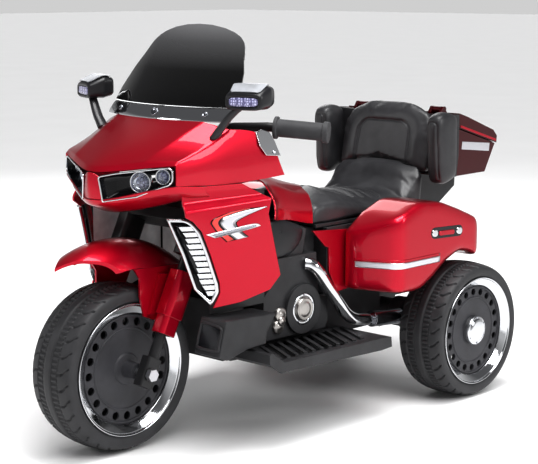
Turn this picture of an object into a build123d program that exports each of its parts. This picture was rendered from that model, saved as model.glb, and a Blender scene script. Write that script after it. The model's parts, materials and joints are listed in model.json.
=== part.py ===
"""Child's battery ride-on touring trike: one wheel in front, two behind.

Millimetres, +Z up, the trike faces -Y and +X is the rider's left. Heights are above
the ground. Lengths along the trike are measured backwards from the front axle, and
the planes station(), side() and level() turn them into the part's own frame, whose
origin lies on the ground under the middle of the trike.
"""
import os
from math import cos, radians, sin

from build123d import *

os.makedirs("parts", exist_ok=True)

# ---------------------------------------------------------------- driving dimensions
FRONT_WHEEL_R = 140.0
REAR_WHEEL_R = 126.5
WHEEL_WIDTH = 96.0
WHEELBASE = 676.0
HALF_TRACK = 208.0
OVERALL_REAR = 884.0  # rear face of the trunk, behind the front axle
FRONT_AXLE_Y = -(OVERALL_REAR - FRONT_WHEEL_R) / 2.0

RAKE = 26.0  # steering axis, degrees back from the vertical
FORK_OFFSET = 25.0  # fork legs ahead of the steering axis
FORK_HALF_WIDTH = 80.0
FORK_TUBE_R = 9.0
STEM_R = 12.0
AXLE_R = 6.0
RUNNING = 0.05  # radial clearance of a turning fit
WALL = 4.0  # moulded panel thickness
GAP = 0.5  # clearance between neighbouring mouldings
CLEAR = 2.0  # clearance round a part that moves

HOLE_COUNT = 20  # round holes in each wheel disc
SEAT_HALF_WIDTH = 118.0
TUB_HALF_WIDTH = 122.0
BAG_OUTER_X = 228.0
BAG_INNER_X = 126.0
BOARD_TOP = 150.0
BOARD_THICK = 22.0
BAR_HEIGHT = 530.0
GRIP_R = 15.0
BAR_R = 8.0

RAKE_SIN = sin(radians(RAKE))
RAKE_COS = cos(radians(RAKE))


# ---------------------------------------------------------------- planes and helpers
def station(y):
    """Upright plane across the trike, y behind the front axle: X right, Z up."""
    return Plane(origin=(0, FRONT_AXLE_Y + y, 0), x_dir=(1, 0, 0), z_dir=(0, -1, 0))


def side(x):
    """Upright plane along the trike at x: local X runs backwards, local Y runs up."""
    return Plane(origin=(x, FRONT_AXLE_Y, 0), x_dir=(0, 1, 0), z_dir=(1, 0, 0))


def level(z):
    """Horizontal plane at height z, with local Y running backwards."""
    return Plane(origin=(0, FRONT_AXLE_Y, z), x_dir=(1, 0, 0), z_dir=(0, 0, 1))


def place(x, y, z):
    """A point given as x, distance behind the front axle, height."""
    return (x, FRONT_AXLE_Y + y, z)


def steer(s):
    """Plane square to the steering axis, s above the axle's foot on that axis."""
    y = FORK_OFFSET * RAKE_COS + s * RAKE_SIN
    z = FRONT_WHEEL_R - FORK_OFFSET * RAKE_SIN + s * RAKE_COS
    return Plane(origin=place(0, y, z), x_dir=(1, 0, 0), z_dir=(0, RAKE_SIN, RAKE_COS))


def outline(points):
    """Straight-sided face from a list of corners, for use in a sketch."""
    Polygon(*points, align=None)


def both(half):
    """Corners of a left-right symmetric outline, from those with x above zero."""
    return half + [(-x, y) for x, y in reversed(half) if abs(x) > 1e-6]


def save(part, name):
    """Labels a finished piece and writes it as its own STEP file."""
    part.label = name
    export_step(part, f"parts/{name}.step")


def mirrored(part, name):
    """Writes the right-hand copy of a left-hand piece."""
    with BuildPart() as copy:
        mirror(part, about=Plane.YZ)
    save(copy.part, name)


# ---------------------------------------------------------------- wheels
def wheel(prefix, centre_x, axle_y, radius, hub_reach, cap_side=0):
    """Tyre, chrome rim rings and holed disc drum of one wheel, about its axle."""
    axle = Axis(place(centre_x, axle_y, radius), (1, 0, 0))
    cross = Plane(origin=place(centre_x, axle_y, radius), x_dir=(1, 0, 0), z_dir=(0, -1, 0))
    face = Plane(origin=place(centre_x, axle_y, radius), x_dir=(0, 1, 0), z_dir=(1, 0, 0))
    half = WHEEL_WIDTH / 2
    bead = 0.80 * radius
    drum = 0.735 * radius
    plate_x = 34.0

    with BuildPart() as tyre:
        with BuildSketch(cross):
            with BuildLine():
                Line((-half, bead), (-half, 0.91 * radius))
                ThreePointArc((-half, 0.91 * radius), (-half + 4, 0.955 * radius), (-half + 14, 0.98 * radius))
                ThreePointArc((-half + 14, 0.98 * radius), (0, radius), (half - 14, 0.98 * radius))
                ThreePointArc((half - 14, 0.98 * radius), (half - 4, 0.955 * radius), (half, 0.91 * radius))
                Polyline(
                    (half, 0.91 * radius),
                    (half, bead),
                    (half - 7, bead),
                    (half - 7, 0.90 * radius),
                    (half - 20, 0.935 * radius),
                    (-half + 20, 0.935 * radius),
                    (-half + 7, 0.90 * radius),
                    (-half + 7, bead),
                    (-half, bead),
                )
            make_face()
        revolve(axis=axle)
    save(tyre.part, f"{prefix}_tyre")

    with BuildPart() as rims:
        lip = bead - 0.3
        for s in (-1, 1):
            with BuildSketch(cross):
                outline(
                    [
                        (s * (half - 1), lip),
                        (s * (half - 1), lip - 3.5),
                        (s * (plate_x + 4), 0.67 * radius),
                        (s * (plate_x + 0.3), 0.67 * radius),
                        (s * (plate_x + 0.3), 0.705 * radius),
                        (s * (half - 7), lip),
                    ]
                )
            revolve(axis=axle)
    save(rims.part, f"{prefix}_rims")

    with BuildPart() as disc:
        bore = AXLE_R + RUNNING
        with BuildSketch(cross):
            outline(
                [
                    (-hub_reach, bore),
                    (hub_reach, bore),
                    (hub_reach, 13),
                    (plate_x + 4, 15),
                    (plate_x + 3, 25),
                    (plate_x, 27),
                    (plate_x, drum),
                    (-plate_x, drum),
                    (-plate_x, 27),
                    (-plate_x - 3, 25),
                    (-plate_x - 4, 15),
                    (-hub_reach, 13),
                ]
            )
            with Locations((0, (14 + drum) / 2)):
                Rectangle(2 * plate_x - 8, drum - 22, mode=Mode.SUBTRACT)
        revolve(axis=axle)
        with BuildSketch(face.offset(-plate_x - 5)):
            with PolarLocations(0.57 * radius, HOLE_COUNT):
                Circle(0.05 * radius)
        extrude(amount=2 * plate_x + 10, mode=Mode.SUBTRACT)
    save(disc.part, f"{prefix}_disc")

    if cap_side:
        with BuildPart() as cap:
            with BuildSketch(cross):
                start = cap_side * hub_reach
                with BuildLine():
                    Polyline((start, 0), (start, 27), (start + cap_side * 5, 27), (start + cap_side * 9, 20))
                    Line((start + cap_side * 9, 20), (start + cap_side * 10, 0))
                    Line((start + cap_side * 10, 0), (start, 0))
                make_face()
            revolve(axis=axle)
        save(cap.part, f"{prefix}_cap")


wheel("front", 0, 0, FRONT_WHEEL_R, hub_reach=62)
for end, sign in (("rear_left", 1), ("rear_right", -1)):
    wheel(end, sign * HALF_TRACK, WHEELBASE, REAR_WHEEL_R, hub_reach=38, cap_side=sign)

# ---------------------------------------------------------------- steering assembly
LEG_Y = 6.0 - FORK_OFFSET  # fork legs, measured across the steering axis
SHROUD_Y = LEG_Y + 4.0
LEG_XS = (FORK_HALF_WIDTH, -FORK_HALF_WIDTH)


def axle_plane(x, y, z):
    """Upright plane at x, square to an axle through y and z."""
    return Plane(origin=place(x, y, z), x_dir=(0, 1, 0), z_dir=(1, 0, 0))


with BuildPart() as front_axle:
    with BuildSketch(axle_plane(-98, 0, FRONT_WHEEL_R)):
        Circle(AXLE_R)
    extrude(amount=196)
    for x in (92, -102):
        with BuildSketch(axle_plane(x, 0, FRONT_WHEEL_R)):
            RegularPolygon(11, 6)
        extrude(amount=10)
save(front_axle.part, "front_axle")

with BuildPart() as fork:
    with BuildSketch(steer(6)):
        with Locations((FORK_HALF_WIDTH, LEG_Y), (-FORK_HALF_WIDTH, LEG_Y)):
            Circle(FORK_TUBE_R)
    extrude(amount=274)
    with BuildSketch(steer(-22)):
        with Locations((FORK_HALF_WIDTH, LEG_Y - 2), (-FORK_HALF_WIDTH, LEG_Y - 2)):
            RectangleRounded(20, 30, 4)
    extrude(amount=50)
    with BuildSketch(steer(205)):
        with Locations((FORK_HALF_WIDTH, LEG_Y), (-FORK_HALF_WIDTH, LEG_Y)):
            RectangleRounded(34, 44, 10)
    extrude(amount=55)
    with BuildSketch(steer(258)):
        with Locations((0, -8)):
            RectangleRounded(196, 62, 12)
    extrude(amount=22)
    with BuildSketch(steer(280)):
        Circle(STEM_R)
    extrude(amount=134)
    with BuildSketch(axle_plane(-120, 0, FRONT_WHEEL_R)):
        Circle(AXLE_R)
    extrude(amount=240, mode=Mode.SUBTRACT)
save(fork.part, "fork")

with BuildPart() as fork_shrouds:
    for x in LEG_XS:
        with BuildSketch(steer(70)) as lower_end:
            with Locations((x, SHROUD_Y)):
                RectangleRounded(30, 36, 9)
            with Locations((x, LEG_Y)):
                Circle(FORK_TUBE_R, mode=Mode.SUBTRACT)
        extrude(amount=30)
        with BuildSketch(steer(100)):
            with Locations((x, SHROUD_Y)):
                RectangleRounded(34, 42, 10)
            with Locations((x, LEG_Y)):
                Circle(FORK_TUBE_R, mode=Mode.SUBTRACT)
        extrude(amount=78)
save(fork_shrouds.part, "fork_shrouds")

FENDER_R = 214.0
FENDER_HALF = 57.0
FENDER_EDGE_R = 170.0

with BuildPart() as front_fender:
    hub = place(0, 0, FRONT_WHEEL_R)
    for turn, arc in ((-1, 47), (1, 36)):
        with BuildSketch(Plane(origin=hub, x_dir=(1, 0, 0), z_dir=(0, -1, 0))):
            with BuildLine():
                ThreePointArc((-FENDER_HALF, FENDER_EDGE_R), (0, FENDER_R), (FENDER_HALF, FENDER_EDGE_R))
                Line((FENDER_HALF, FENDER_EDGE_R), (FENDER_HALF - WALL, FENDER_EDGE_R))
                ThreePointArc(
                    (FENDER_HALF - WALL, FENDER_EDGE_R),
                    (0, FENDER_R - WALL),
                    (-FENDER_HALF + WALL, FENDER_EDGE_R),
                )
                Line((-FENDER_HALF + WALL, FENDER_EDGE_R), (-FENDER_HALF, FENDER_EDGE_R))
            make_face()
        revolve(axis=Axis(hub, (turn, 0, 0)), revolution_arc=arc)
    with BuildSketch(level(250)):
        outline(both([(0, -118), (34, -72), (FENDER_HALF, -28), (FENDER_HALF, 190)]))
    extrude(amount=150, mode=Mode.INTERSECT)
    for x in (FENDER_HALF - WALL, -FENDER_HALF):
        with BuildSketch(side(x)):
            outline([(0, 309), (100, 306), (92, 286), (64, 260), (44, 218), (20, 228), (12, 262), (12, 292)])
        extrude(amount=WALL)
    for x, depth in ((FENDER_HALF, 5.5), (-FENDER_HALF, -5.5)):
        with BuildSketch(side(x)):
            outline([(26, 232), (52, 228), (84, 292), (52, 296)])
        extrude(amount=depth)
save(front_fender.part, "front_fender")

GRIP_START = (130.0, 237.0, 530.0)
GRIP_END = (216.0, 286.0, 523.0)
BAR_RISE = (74.0, 207.0, 528.0)
BAR_S = 424.0
BAR_CENTRE_Y = FORK_OFFSET * RAKE_COS + BAR_S * RAKE_SIN
BAR_CENTRE_Z = FRONT_WHEEL_R - FORK_OFFSET * RAKE_SIN + BAR_S * RAKE_COS

with BuildPart() as handlebar:
    for s in (1, -1):
        with BuildLine() as bar_line:
            FilletPolyline(
                place(0, BAR_CENTRE_Y, BAR_CENTRE_Z),
                place(s * 34, BAR_CENTRE_Y, BAR_CENTRE_Z),
                place(s * BAR_RISE[0], BAR_RISE[1], BAR_RISE[2]),
                place(s * GRIP_START[0], GRIP_START[1], GRIP_START[2]),
                place(s * GRIP_END[0], GRIP_END[1], GRIP_END[2]),
                radius=14,
            )
        with BuildSketch(Plane(origin=place(0, BAR_CENTRE_Y, BAR_CENTRE_Z), z_dir=(s, 0, 0))):
            Circle(BAR_R)
        sweep(path=bar_line.line)
    with BuildSketch(steer(410)):
        RectangleRounded(58, 36, 8)
    extrude(amount=28)
    with BuildSketch(steer(408)):
        Circle(STEM_R)
    extrude(amount=6, mode=Mode.SUBTRACT)
save(handlebar.part, "handlebar")


def grip_plane(s, along):
    """Plane square to a grip's axis, along millimetres out from its inner end."""
    start = Vector(*place(s * GRIP_START[0], GRIP_START[1], GRIP_START[2]))
    end = Vector(*place(s * GRIP_END[0], GRIP_END[1], GRIP_END[2]))
    direction = (end - start).normalized()
    return Plane(origin=start + direction * along, z_dir=direction)


GRIP_LENGTH = 99.3
with BuildPart() as grips:
    for s in (1, -1):
        for along, length, radius in ((12, 6, 19), (18, 78, GRIP_R), (96, GRIP_LENGTH - 90, 18)):
            with BuildSketch(grip_plane(s, along)):
                Circle(radius)
            extrude(amount=length)
        with BuildSketch(grip_plane(s, 5)):
            Circle(BAR_R)
        extrude(amount=GRIP_LENGTH - 5, mode=Mode.SUBTRACT)
save(grips.part, "grips")

# ---------------------------------------------------------------- chassis and drive
HEAD_LOW = 284.0
HEAD_HIGH = 406.0

with BuildPart() as chassis_frame:
    with BuildSketch(steer(HEAD_LOW)):
        RectangleRounded(60, 52, 12)
    extrude(amount=HEAD_HIGH - HEAD_LOW)
    with BuildSketch(side(-28)):
        outline([(168, 382), (210, 470), (226, 470), (233, 380), (233, 200), (206, 200), (200, 340)])
    extrude(amount=56)
    with BuildSketch(side(-36)):
        outline([(206, 150), (206, 214), (600, 214), (640, 196), (760, 196), (760, 160), (700, 160), (700, 104),
                 (652, 104), (640, 150)])
    extrude(amount=72)
    with BuildSketch(axle_plane(-100, WHEELBASE, REAR_WHEEL_R)):
        Circle(20)
    extrude(amount=200)
    for y in (250, 420):
        with BuildSketch(side(-94)):
            with Locations((y, 158)):
                Rectangle(24, 16)
        extrude(amount=188)
    with BuildSketch(steer(HEAD_LOW - 20)):
        Circle(STEM_R + RUNNING)
    extrude(amount=HEAD_HIGH - HEAD_LOW + 40, mode=Mode.SUBTRACT)
    with BuildSketch(axle_plane(-120, WHEELBASE, REAR_WHEEL_R)):
        Circle(AXLE_R)
    extrude(amount=240, mode=Mode.SUBTRACT)
    with BuildSketch(side(-28)):
        outline([(290, 164), (390, 164), (390, 200), (290, 200)])
        outline([(450, 164), (570, 164), (570, 200), (450, 200)])
    extrude(amount=56, mode=Mode.SUBTRACT)
save(chassis_frame.part, "chassis_frame")

with BuildPart() as rear_axle:
    with BuildSketch(axle_plane(-243, WHEELBASE, REAR_WHEEL_R)):
        Circle(AXLE_R)
    extrude(amount=486)
save(rear_axle.part, "rear_axle")

with BuildPart() as gearboxes:
    for start, s in ((101, 1), (-101, -1)):
        with BuildSketch(axle_plane(start, WHEELBASE, REAR_WHEEL_R)):
            Circle(44)
            with Locations((-52, 26)):
                Circle(27)
            outline([(-56, 52), (0, 44), (0, -44), (-56, 0)])
        extrude(amount=s * 48)
        with BuildSketch(axle_plane(s * 149, WHEELBASE, REAR_WHEEL_R)):
            Circle(22)
        extrude(amount=s * 19)
        with BuildSketch(axle_plane(s * 60, WHEELBASE, REAR_WHEEL_R)):
            with Locations((-52, 26)):
                Circle(20)
        extrude(amount=s * 45)
    with BuildSketch(axle_plane(-200, WHEELBASE, REAR_WHEEL_R)):
        Circle(AXLE_R)
    extrude(amount=400, mode=Mode.SUBTRACT)
save(gearboxes.part, "gearboxes")

with BuildPart() as belly_tub:
    with BuildSketch(side(-98)):
        outline([(160, 134), (146, 238), (212, 238), (212, 214), (578, 214), (578, 150), (560, 134)])
    extrude(amount=196)
    with BuildSketch(side(-94)):
        outline([(164.5, 138), (151, 232), (150.5, 260), (600, 260), (600, 218), (574, 214), (574, 152), (558, 138)])
    extrude(amount=188, mode=Mode.SUBTRACT)
    with BuildSketch(side(-38)):
        outline([(540, 148), (590, 148), (590, 220), (540, 220)])
    extrude(amount=76, mode=Mode.SUBTRACT)
save(belly_tub.part, "belly_tub")

with BuildPart() as footboards:
    for start, s in ((98.5, 1), (-98.5, -1)):
        with BuildSketch(side(start)):
            outline(
                [(146, 152), (146, 168), (152, 170), (182, 150), (434, 148), (460, 146), (462, 128), (434, 126),
                 (174, 133)]
            )
        extrude(amount=s * 123.5)
        with BuildSketch(side(s * 103)):
            outline([(160, 152), (182, 142), (431, 140), (450, 126), (174, 126), (156, 140)])
        extrude(amount=s * 114.5, mode=Mode.SUBTRACT)
        with BuildSketch(side(s * 103)):
            outline([(158, 160), (182, 150), (434, 148), (460, 146), (462, 140), (431, 141), (182, 143), (158, 152)])
        extrude(amount=s * 114.5)
    with BuildSketch(level(147)):
        for s in (1, -1):
            with Locations((s * 162, 330)):
                with Locations(*[(0, -140 + 21 * i) for i in range(12)]):
                    Rectangle(96, 7, rotation=s * -27)
    extrude(amount=5.2)
    for x in (-208, -146):
        with BuildSketch(side(x)):
            outline([(326, 146), (352, 146), (346, 163), (332, 163)])
        extrude(amount=6)
    with BuildSketch(side(-208)):
        with Locations((339, 157)):
            Circle(2.5)
    extrude(amount=68)
save(footboards.part, "footboards")

with BuildPart() as pedal:
    with BuildSketch(side(-200)):
        outline([(226, 170), (226, 176), (230, 178), (339, 162), (344, 157), (339, 152.8), (334, 154)])
    extrude(amount=50)
    with BuildSketch(side(-201)):
        with Locations((339, 157)):
            Circle(4.6)
    extrude(amount=52)
    for i in range(5):
        with BuildSketch(side(-196)):
            with Locations((245 + 18 * i, 176.2 - 2.65 * i)):
                Rectangle(7, 3)
        extrude(amount=42)
    with BuildSketch(side(-210)):
        with Locations((339, 157)):
            Circle(2.5 + RUNNING)
    extrude(amount=70, mode=Mode.SUBTRACT)
save(pedal.part, "pedal")

with BuildPart() as engine_block:
    with BuildSketch(side(-96)):
        outline([(264, 218), (264, 338), (392, 338), (392, 218)])
    extrude(amount=192)
    with BuildSketch(side(-92)):
        outline([(268, 222), (268, 334), (388, 334), (388, 222)])
    extrude(amount=184, mode=Mode.SUBTRACT)
    for i in range(9):
        for start, s in ((96, 1), (-96, -1)):
            with BuildSketch(side(start)):
                with Locations((312, 304 + 4 * i)):
                    Rectangle(84 - 4 * i, 2)
            extrude(amount=s * 14)
save(engine_block.part, "engine_block")

with BuildPart() as engine_covers:
    for start, s in ((98.5, 1), (-98.5, -1)):
        with BuildSketch(side(start)):
            outline([(232, 172), (232, 236), (268, 268), (268, 300), (366, 300), (372, 222), (398, 216), (398, 172),
                     (390, 160), (240, 160)])
        extrude(amount=s * 26.5)
        with BuildSketch(side(start)):
            outline([(238, 176), (238, 234), (272, 264), (272, 294), (361, 294), (367, 218), (393, 212), (393, 176),
                     (386, 166), (244, 166)])
        extrude(amount=s * 21.5, mode=Mode.SUBTRACT)
        with BuildSketch(side(start + s * 26)):
            with Locations((328, 204)):
                Circle(44)
                Circle(28.5, mode=Mode.SUBTRACT)
        extrude(amount=s * 7)
        with BuildSketch(side(start + s * 12)):
            outline([(262, 361), (306, 360), (346, 343), (336, 296), (288, 296), (268, 308)])
        extrude(amount=s * 8.5)
save(engine_covers.part, "engine_covers")

with BuildPart() as engine_caps:
    for start, s in ((125, 1), (-125, -1)):
        with BuildSketch(side(start)):
            with Locations((328, 204)):
                Circle(28)
        extrude(amount=s * 6)
        with BuildSketch(side(start)):
            with Locations((328, 204)):
                Circle(20)
        extrude(amount=s * 11)
        with BuildSketch(side(start)):
            with Locations((256, 210)):
                Circle(14)
            with Locations((262, 184)):
                Circle(12)
            outline([(242, 210), (250, 184), (274, 184), (270, 210)])
        extrude(amount=s * 7)
save(engine_caps.part, "engine_caps")

with BuildPart() as exhaust_pipes:
    for s in (1, -1):
        with BuildLine() as pipe_line:
            FilletPolyline(
                place(s * 125, 340, 282),
                place(s * 138, 352, 274),
                place(s * 141, 428, 182),
                place(s * 139, 494, 160),
                radius=16,
            )
        with BuildSketch(Plane(origin=place(s * 125, 340, 282), z_dir=(s * 13, 12, -8))):
            Circle(11.5)
        sweep(path=pipe_line.line)
    with BuildSketch(side(-125)):
        Rectangle(3000, 3000)
    extrude(amount=250, mode=Mode.SUBTRACT)
save(exhaust_pipes.part, "exhaust_pipes")

with BuildPart() as mufflers:
    for s in (1, -1):
        muffler_plane = Plane(origin=place(s * 139, 494, 160), z_dir=(0, 88, -7))
        with BuildSketch(muffler_plane.offset(3)):
            Circle(12)
        extrude(amount=5)
        with BuildSketch(muffler_plane.offset(8)):
            Circle(15)
        extrude(amount=80)
        with BuildSketch(muffler_plane.offset(70)):
            Circle(11)
        extrude(amount=30, mode=Mode.SUBTRACT)
save(mufflers.part, "mufflers")

# ---------------------------------------------------------------- front bodywork
COWL_OUTER = (
    (-42, [(0, 470), (5, 469), (10, 467), (8, 458), (0, 455)]),
    (-12, [(0, 487), (38, 483), (73, 475), (33, 420), (0, 408)]),
    (20, [(0, 507), (70, 502), (137, 485), (137, 450), (0, 418)]),
    (110, [(0, 556), (80, 553), (141, 545), (153, 456), (0, 430)]),
    (180, [(0, 541), (90, 540), (160, 531), (164, 453), (0, 433)]),
    (228, [(0, 535), (90, 530), (168, 506), (171, 451), (0, 436)]),
)
COWL_INNER = (
    (-24, [(0, 474), (22, 471), (42, 466), (20, 440), (0, 431)]),
    (20, [(0, 501), (68, 496), (131, 479), (131, 456), (0, 425)]),
    (110, [(0, 550), (78, 547), (135, 539), (147, 420), (0, 400)]),
    (180, [(0, 535), (88, 534), (154, 525), (158, 410), (0, 395)]),
    (240, [(0, 529), (88, 524), (162, 495), (165, 400), (0, 390)]),
)


def sections(rows):
    """Cross-sections of a left-right symmetric body, one for each (y, half outline)."""
    faces = []
    for y, half in rows:
        with BuildSketch(station(y)) as cut:
            Polygon(*both(half), align=None)
        faces.append(cut.sketch)
    return faces


def screen_arc(z, margin):
    """Plan of the windscreen's front face at height z, as end, middle, end."""
    back = (z - 565) * 0.753 + margin
    return (-146, 140 + back), (0, 107 + back), (146, 140 + back)


SCREEN_LEAN = (0, 0.602, 0.799)

with BuildPart() as front_cowl:
    loft(sections(COWL_OUTER), ruled=True)
    loft(sections(COWL_INNER), ruled=True, mode=Mode.SUBTRACT)
    with BuildSketch(level(544)):
        with BuildLine():
            ThreePointArc(*screen_arc(544, -0.6))
            Polyline(screen_arc(544, -0.6)[2], (146, 260), (-146, 260), screen_arc(544, -0.6)[0])
        make_face()
    extrude(amount=60, dir=SCREEN_LEAN, mode=Mode.SUBTRACT)
    with BuildSketch(level(430)):
        outline([(-128, 118), (128, 118), (149, 150), (153, 240), (-153, 240), (-149, 150)])
    extrude(amount=130, mode=Mode.SUBTRACT)
    for s in (1, -1):
        lamp_face = Plane(origin=place(s * 12, -42, 0), x_dir=(s * 0.893, 0.45, 0), z_dir=(s * 0.45, -0.893, 0))
        with BuildSketch(lamp_face.offset(-30)):
            if s > 0:
                outline([(12, 424), (6, 461), (134, 480), (134, 454)])
            else:
                outline([(12, -424), (6, -461), (134, -480), (134, -454)])
        extrude(amount=50, mode=Mode.SUBTRACT)
save(front_cowl.part, "front_cowl")

with BuildPart() as headlight_housings:
    for s in (1, -1):
        lamp_face = Plane(origin=place(s * 12, -42, 0), x_dir=(s * 0.893, 0.45, 0), z_dir=(s * 0.45, -0.893, 0))
        with BuildSketch(lamp_face.offset(-33)):
            outline([(26, s * 438), (24, s * 460), (126, s * 474), (126, s * 458)])
        extrude(amount=8)
save(headlight_housings.part, "headlight_housings")

with BuildPart() as headlight_lenses:
    for s in (1, -1):
        lamp_face = Plane(origin=place(s * 12, -42, 0), x_dir=(s * 0.893, 0.45, 0), z_dir=(s * 0.45, -0.893, 0))
        for u, z, radius, reach in ((76, 456, 14, 16), (116, 465, 8, 14)):
            with BuildSketch(lamp_face.offset(-25)):
                with Locations((u, s * z)):
                    Circle(radius)
            extrude(amount=reach)
save(headlight_lenses.part, "headlight_lenses")

with BuildPart() as windscreen_strip:
    with BuildSketch(level(545)):
        with BuildLine():
            ThreePointArc(*screen_arc(545, 0))
            Line(screen_arc(545, 0)[2], screen_arc(545, 6)[2])
            ThreePointArc(*screen_arc(545, 6))
            Line(screen_arc(545, 6)[0], screen_arc(545, 0)[0])
        make_face()
    extrude(amount=22 / 0.799, dir=SCREEN_LEAN)
    with BuildSketch(station(60)):
        outline(both([(0, 566), (100, 566), (142, 567), (140, 545), (0, 544.9)]))
    extrude(amount=-120, mode=Mode.INTERSECT)
save(windscreen_strip.part, "windscreen_strip")

with BuildPart() as windscreen:
    with BuildSketch(level(567.2)):
        with BuildLine():
            ThreePointArc(*screen_arc(567.2, 1.5))
            Line(screen_arc(567.2, 1.5)[2], screen_arc(567.2, 4.5)[2])
            ThreePointArc(*screen_arc(567.2, 4.5))
            Line(screen_arc(567.2, 4.5)[0], screen_arc(567.2, 1.5)[0])
        make_face()
    extrude(amount=134 / 0.799, dir=SCREEN_LEAN)
    with BuildSketch(station(60)):
        outline(both([(0, 698), (62, 692), (98, 678), (117, 663), (144, 588), (143, 567.2), (0, 567.2)]))
    extrude(amount=-200, mode=Mode.INTERSECT)
save(windscreen.part, "windscreen")

MIRROR_TOE_OUT = radians(21)

with BuildPart() as mirrors:
    for s in (1, -1):
        with BuildSketch(station(104)):
            outline([(s * 141.4, 544), (s * 143.4, 529), (s * 160, 531), (s * 190, 572), (s * 172, 575)])
        extrude(amount=14)
        face = Plane(origin=place(s * 198, 109, 582),
                     x_dir=(s * cos(MIRROR_TOE_OUT), sin(MIRROR_TOE_OUT), 0),
                     z_dir=(s * sin(MIRROR_TOE_OUT), -cos(MIRROR_TOE_OUT), 0))
        with BuildSketch(face) as front_face:
            RectangleRounded(64, 28, 9)
        with BuildSketch(face.offset(-30)) as middle:
            with Locations((2, s * 6)):
                RectangleRounded(70, 40, 9)
        with BuildSketch(face.offset(-48)) as rear_face:
            with Locations((3, s * 7)):
                RectangleRounded(66, 36, 9)
        loft([front_face.sketch, middle.sketch, rear_face.sketch], ruled=True)
save(mirrors.part, "mirrors")

PANEL_OUTLINE = [(-2, 446), (0, 399), (14, 391), (29.5, 374), (45.5, 335), (62.5, 287), (63.5, 271),
                 (50.5, 246), (102, 251), (158, 266), (179, 289), (154, 394), (160, 420), (120, 440), (108, 446)]
GRILLE_OUTLINE = [(1, -1), (30, -2), (41.5, -8), (54.5, -23.5), (69, -62), (84, -110), (85.5, -125), (73.5, -148),
                  (45.5, -119.5), (24.8, -59.5)]
GRILLE_WINDOW = [(6, -6), (29, -7), (39, -13), (50, -28), (64, -65), (78.5, -112), (79.5, -124), (71, -139),
                 (49.5, -117), (29.5, -58)]


def flip(points, s):
    """Corners for a plane whose upright axis is reversed when s is -1."""
    return [(x, s * y) for x, y in points]


with BuildPart() as fairing_panels:
    for s in (1, -1):
        panel = Plane(origin=place(s * 140, 36, 0), x_dir=(s * 0.27, 0.963, 0), z_dir=(s * 0.963, -0.27, 0))
        with BuildSketch(panel.offset(-4)):
            outline(flip(PANEL_OUTLINE, s))
        extrude(amount=4)
save(fairing_panels.part, "fairing_panels")

FIN_COUNT = 11
with BuildPart() as side_grilles:
    for s in (1, -1):
        grille = Plane(origin=place(s * 113, 20, 396), x_dir=(s * 0.603, 0.798, 0), z_dir=(s * 0.796, -0.601, -0.073))
        with BuildSketch(grille.offset(-9)):
            outline(flip(GRILLE_OUTLINE, s))
            Polygon(*flip(GRILLE_WINDOW, s), align=None, mode=Mode.SUBTRACT)
        extrude(amount=9)
        with BuildSketch(grille.offset(-11)):
            outline(flip(GRILLE_OUTLINE, s))
        extrude(amount=2)
        with BuildSketch(grille.offset(-9)):
            outline(flip(GRILLE_WINDOW, s))
            with Locations(*[(45, s * (-11.5 - 11.5 * i)) for i in range(FIN_COUNT + 1)]):
                Rectangle(110, 7, mode=Mode.SUBTRACT)
        extrude(amount=8)
save(side_grilles.part, "side_grilles")

with BuildPart() as front_bracket:
    for start, s in ((124, 1), (-124, -1)):
        with BuildSketch(side(start)):
            outline([(66, 424), (62, 396), (98, 262), (104, 229), (226, 229), (226, 424)])
        extrude(amount=s * 5)
    with BuildSketch(station(226)):
        outline([(-129, 229), (-129, 424), (-40, 424), (-28.5, 400), (-28.5, 229)])
        outline([(129, 229), (129, 424), (40, 424), (28.5, 400), (28.5, 229)])
    extrude(amount=-5)
save(front_bracket.part, "front_bracket")

with BuildPart() as leg_guards:
    for start, s in ((129.5, 1), (-129.5, -1)):
        with BuildSketch(side(start)):
            outline([(64, 172), (80, 230), (198, 226), (176, 196), (174, 177), (130, 175), (84, 164)])
        extrude(amount=s * 58)
        with BuildSketch(side(start)):
            outline([(75, 174), (85, 224), (187, 221), (170, 195), (169, 183), (128, 181), (90, 171)])
        extrude(amount=s * 53, mode=Mode.SUBTRACT)
save(leg_guards.part, "leg_guards")

DASH = Plane(origin=place(0, 134, 520), x_dir=(1, 0, 0), z_dir=(0, 0.745, 0.667))
BUTTON_R = 9.0
BUTTON_XS = {"start_button": 42.0, "horn_button": -42.0}

ROCKER_SIDE = Plane(origin=DASH.origin, x_dir=DASH.y_dir, z_dir=(1, 0, 0))
ROCKER_PIVOT_DEPTH = 2.0
ROCKER_PIN_R = 1.2

with BuildPart() as dashboard:
    with BuildSketch(DASH):
        Rectangle(252, 50)
    extrude(amount=-4)
    with BuildSketch(DASH.offset(-3)):
        Rectangle(132, 40)
    extrude(amount=-15)
    with BuildSketch(DASH.offset(-4)):
        Rectangle(124, 32)
    extrude(amount=-11, mode=Mode.SUBTRACT)
    with BuildSketch(DASH.offset(1)):
        with Locations(*[(x, 0) for x in BUTTON_XS.values()]):
            Circle(BUTTON_R + 0.4)
        Rectangle(17, 26)
    extrude(amount=-8, mode=Mode.SUBTRACT)
    with BuildSketch(ROCKER_SIDE.offset(-10.8)):
        with Locations((0, -ROCKER_PIVOT_DEPTH)):
            Circle(ROCKER_PIN_R + 0.05)
    extrude(amount=21.6, mode=Mode.SUBTRACT)
save(dashboard.part, "dashboard")

for name, x in BUTTON_XS.items():
    with BuildPart() as button:
        with BuildSketch(DASH.offset(-11.5)):
            with Locations((x, 0)):
                Circle(BUTTON_R + 2.5)
        extrude(amount=2.5)
        with BuildSketch(DASH.offset(-9)):
            with Locations((x, 0)):
                Circle(BUTTON_R)
        extrude(amount=12.5)
    save(button.part, name)

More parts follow.
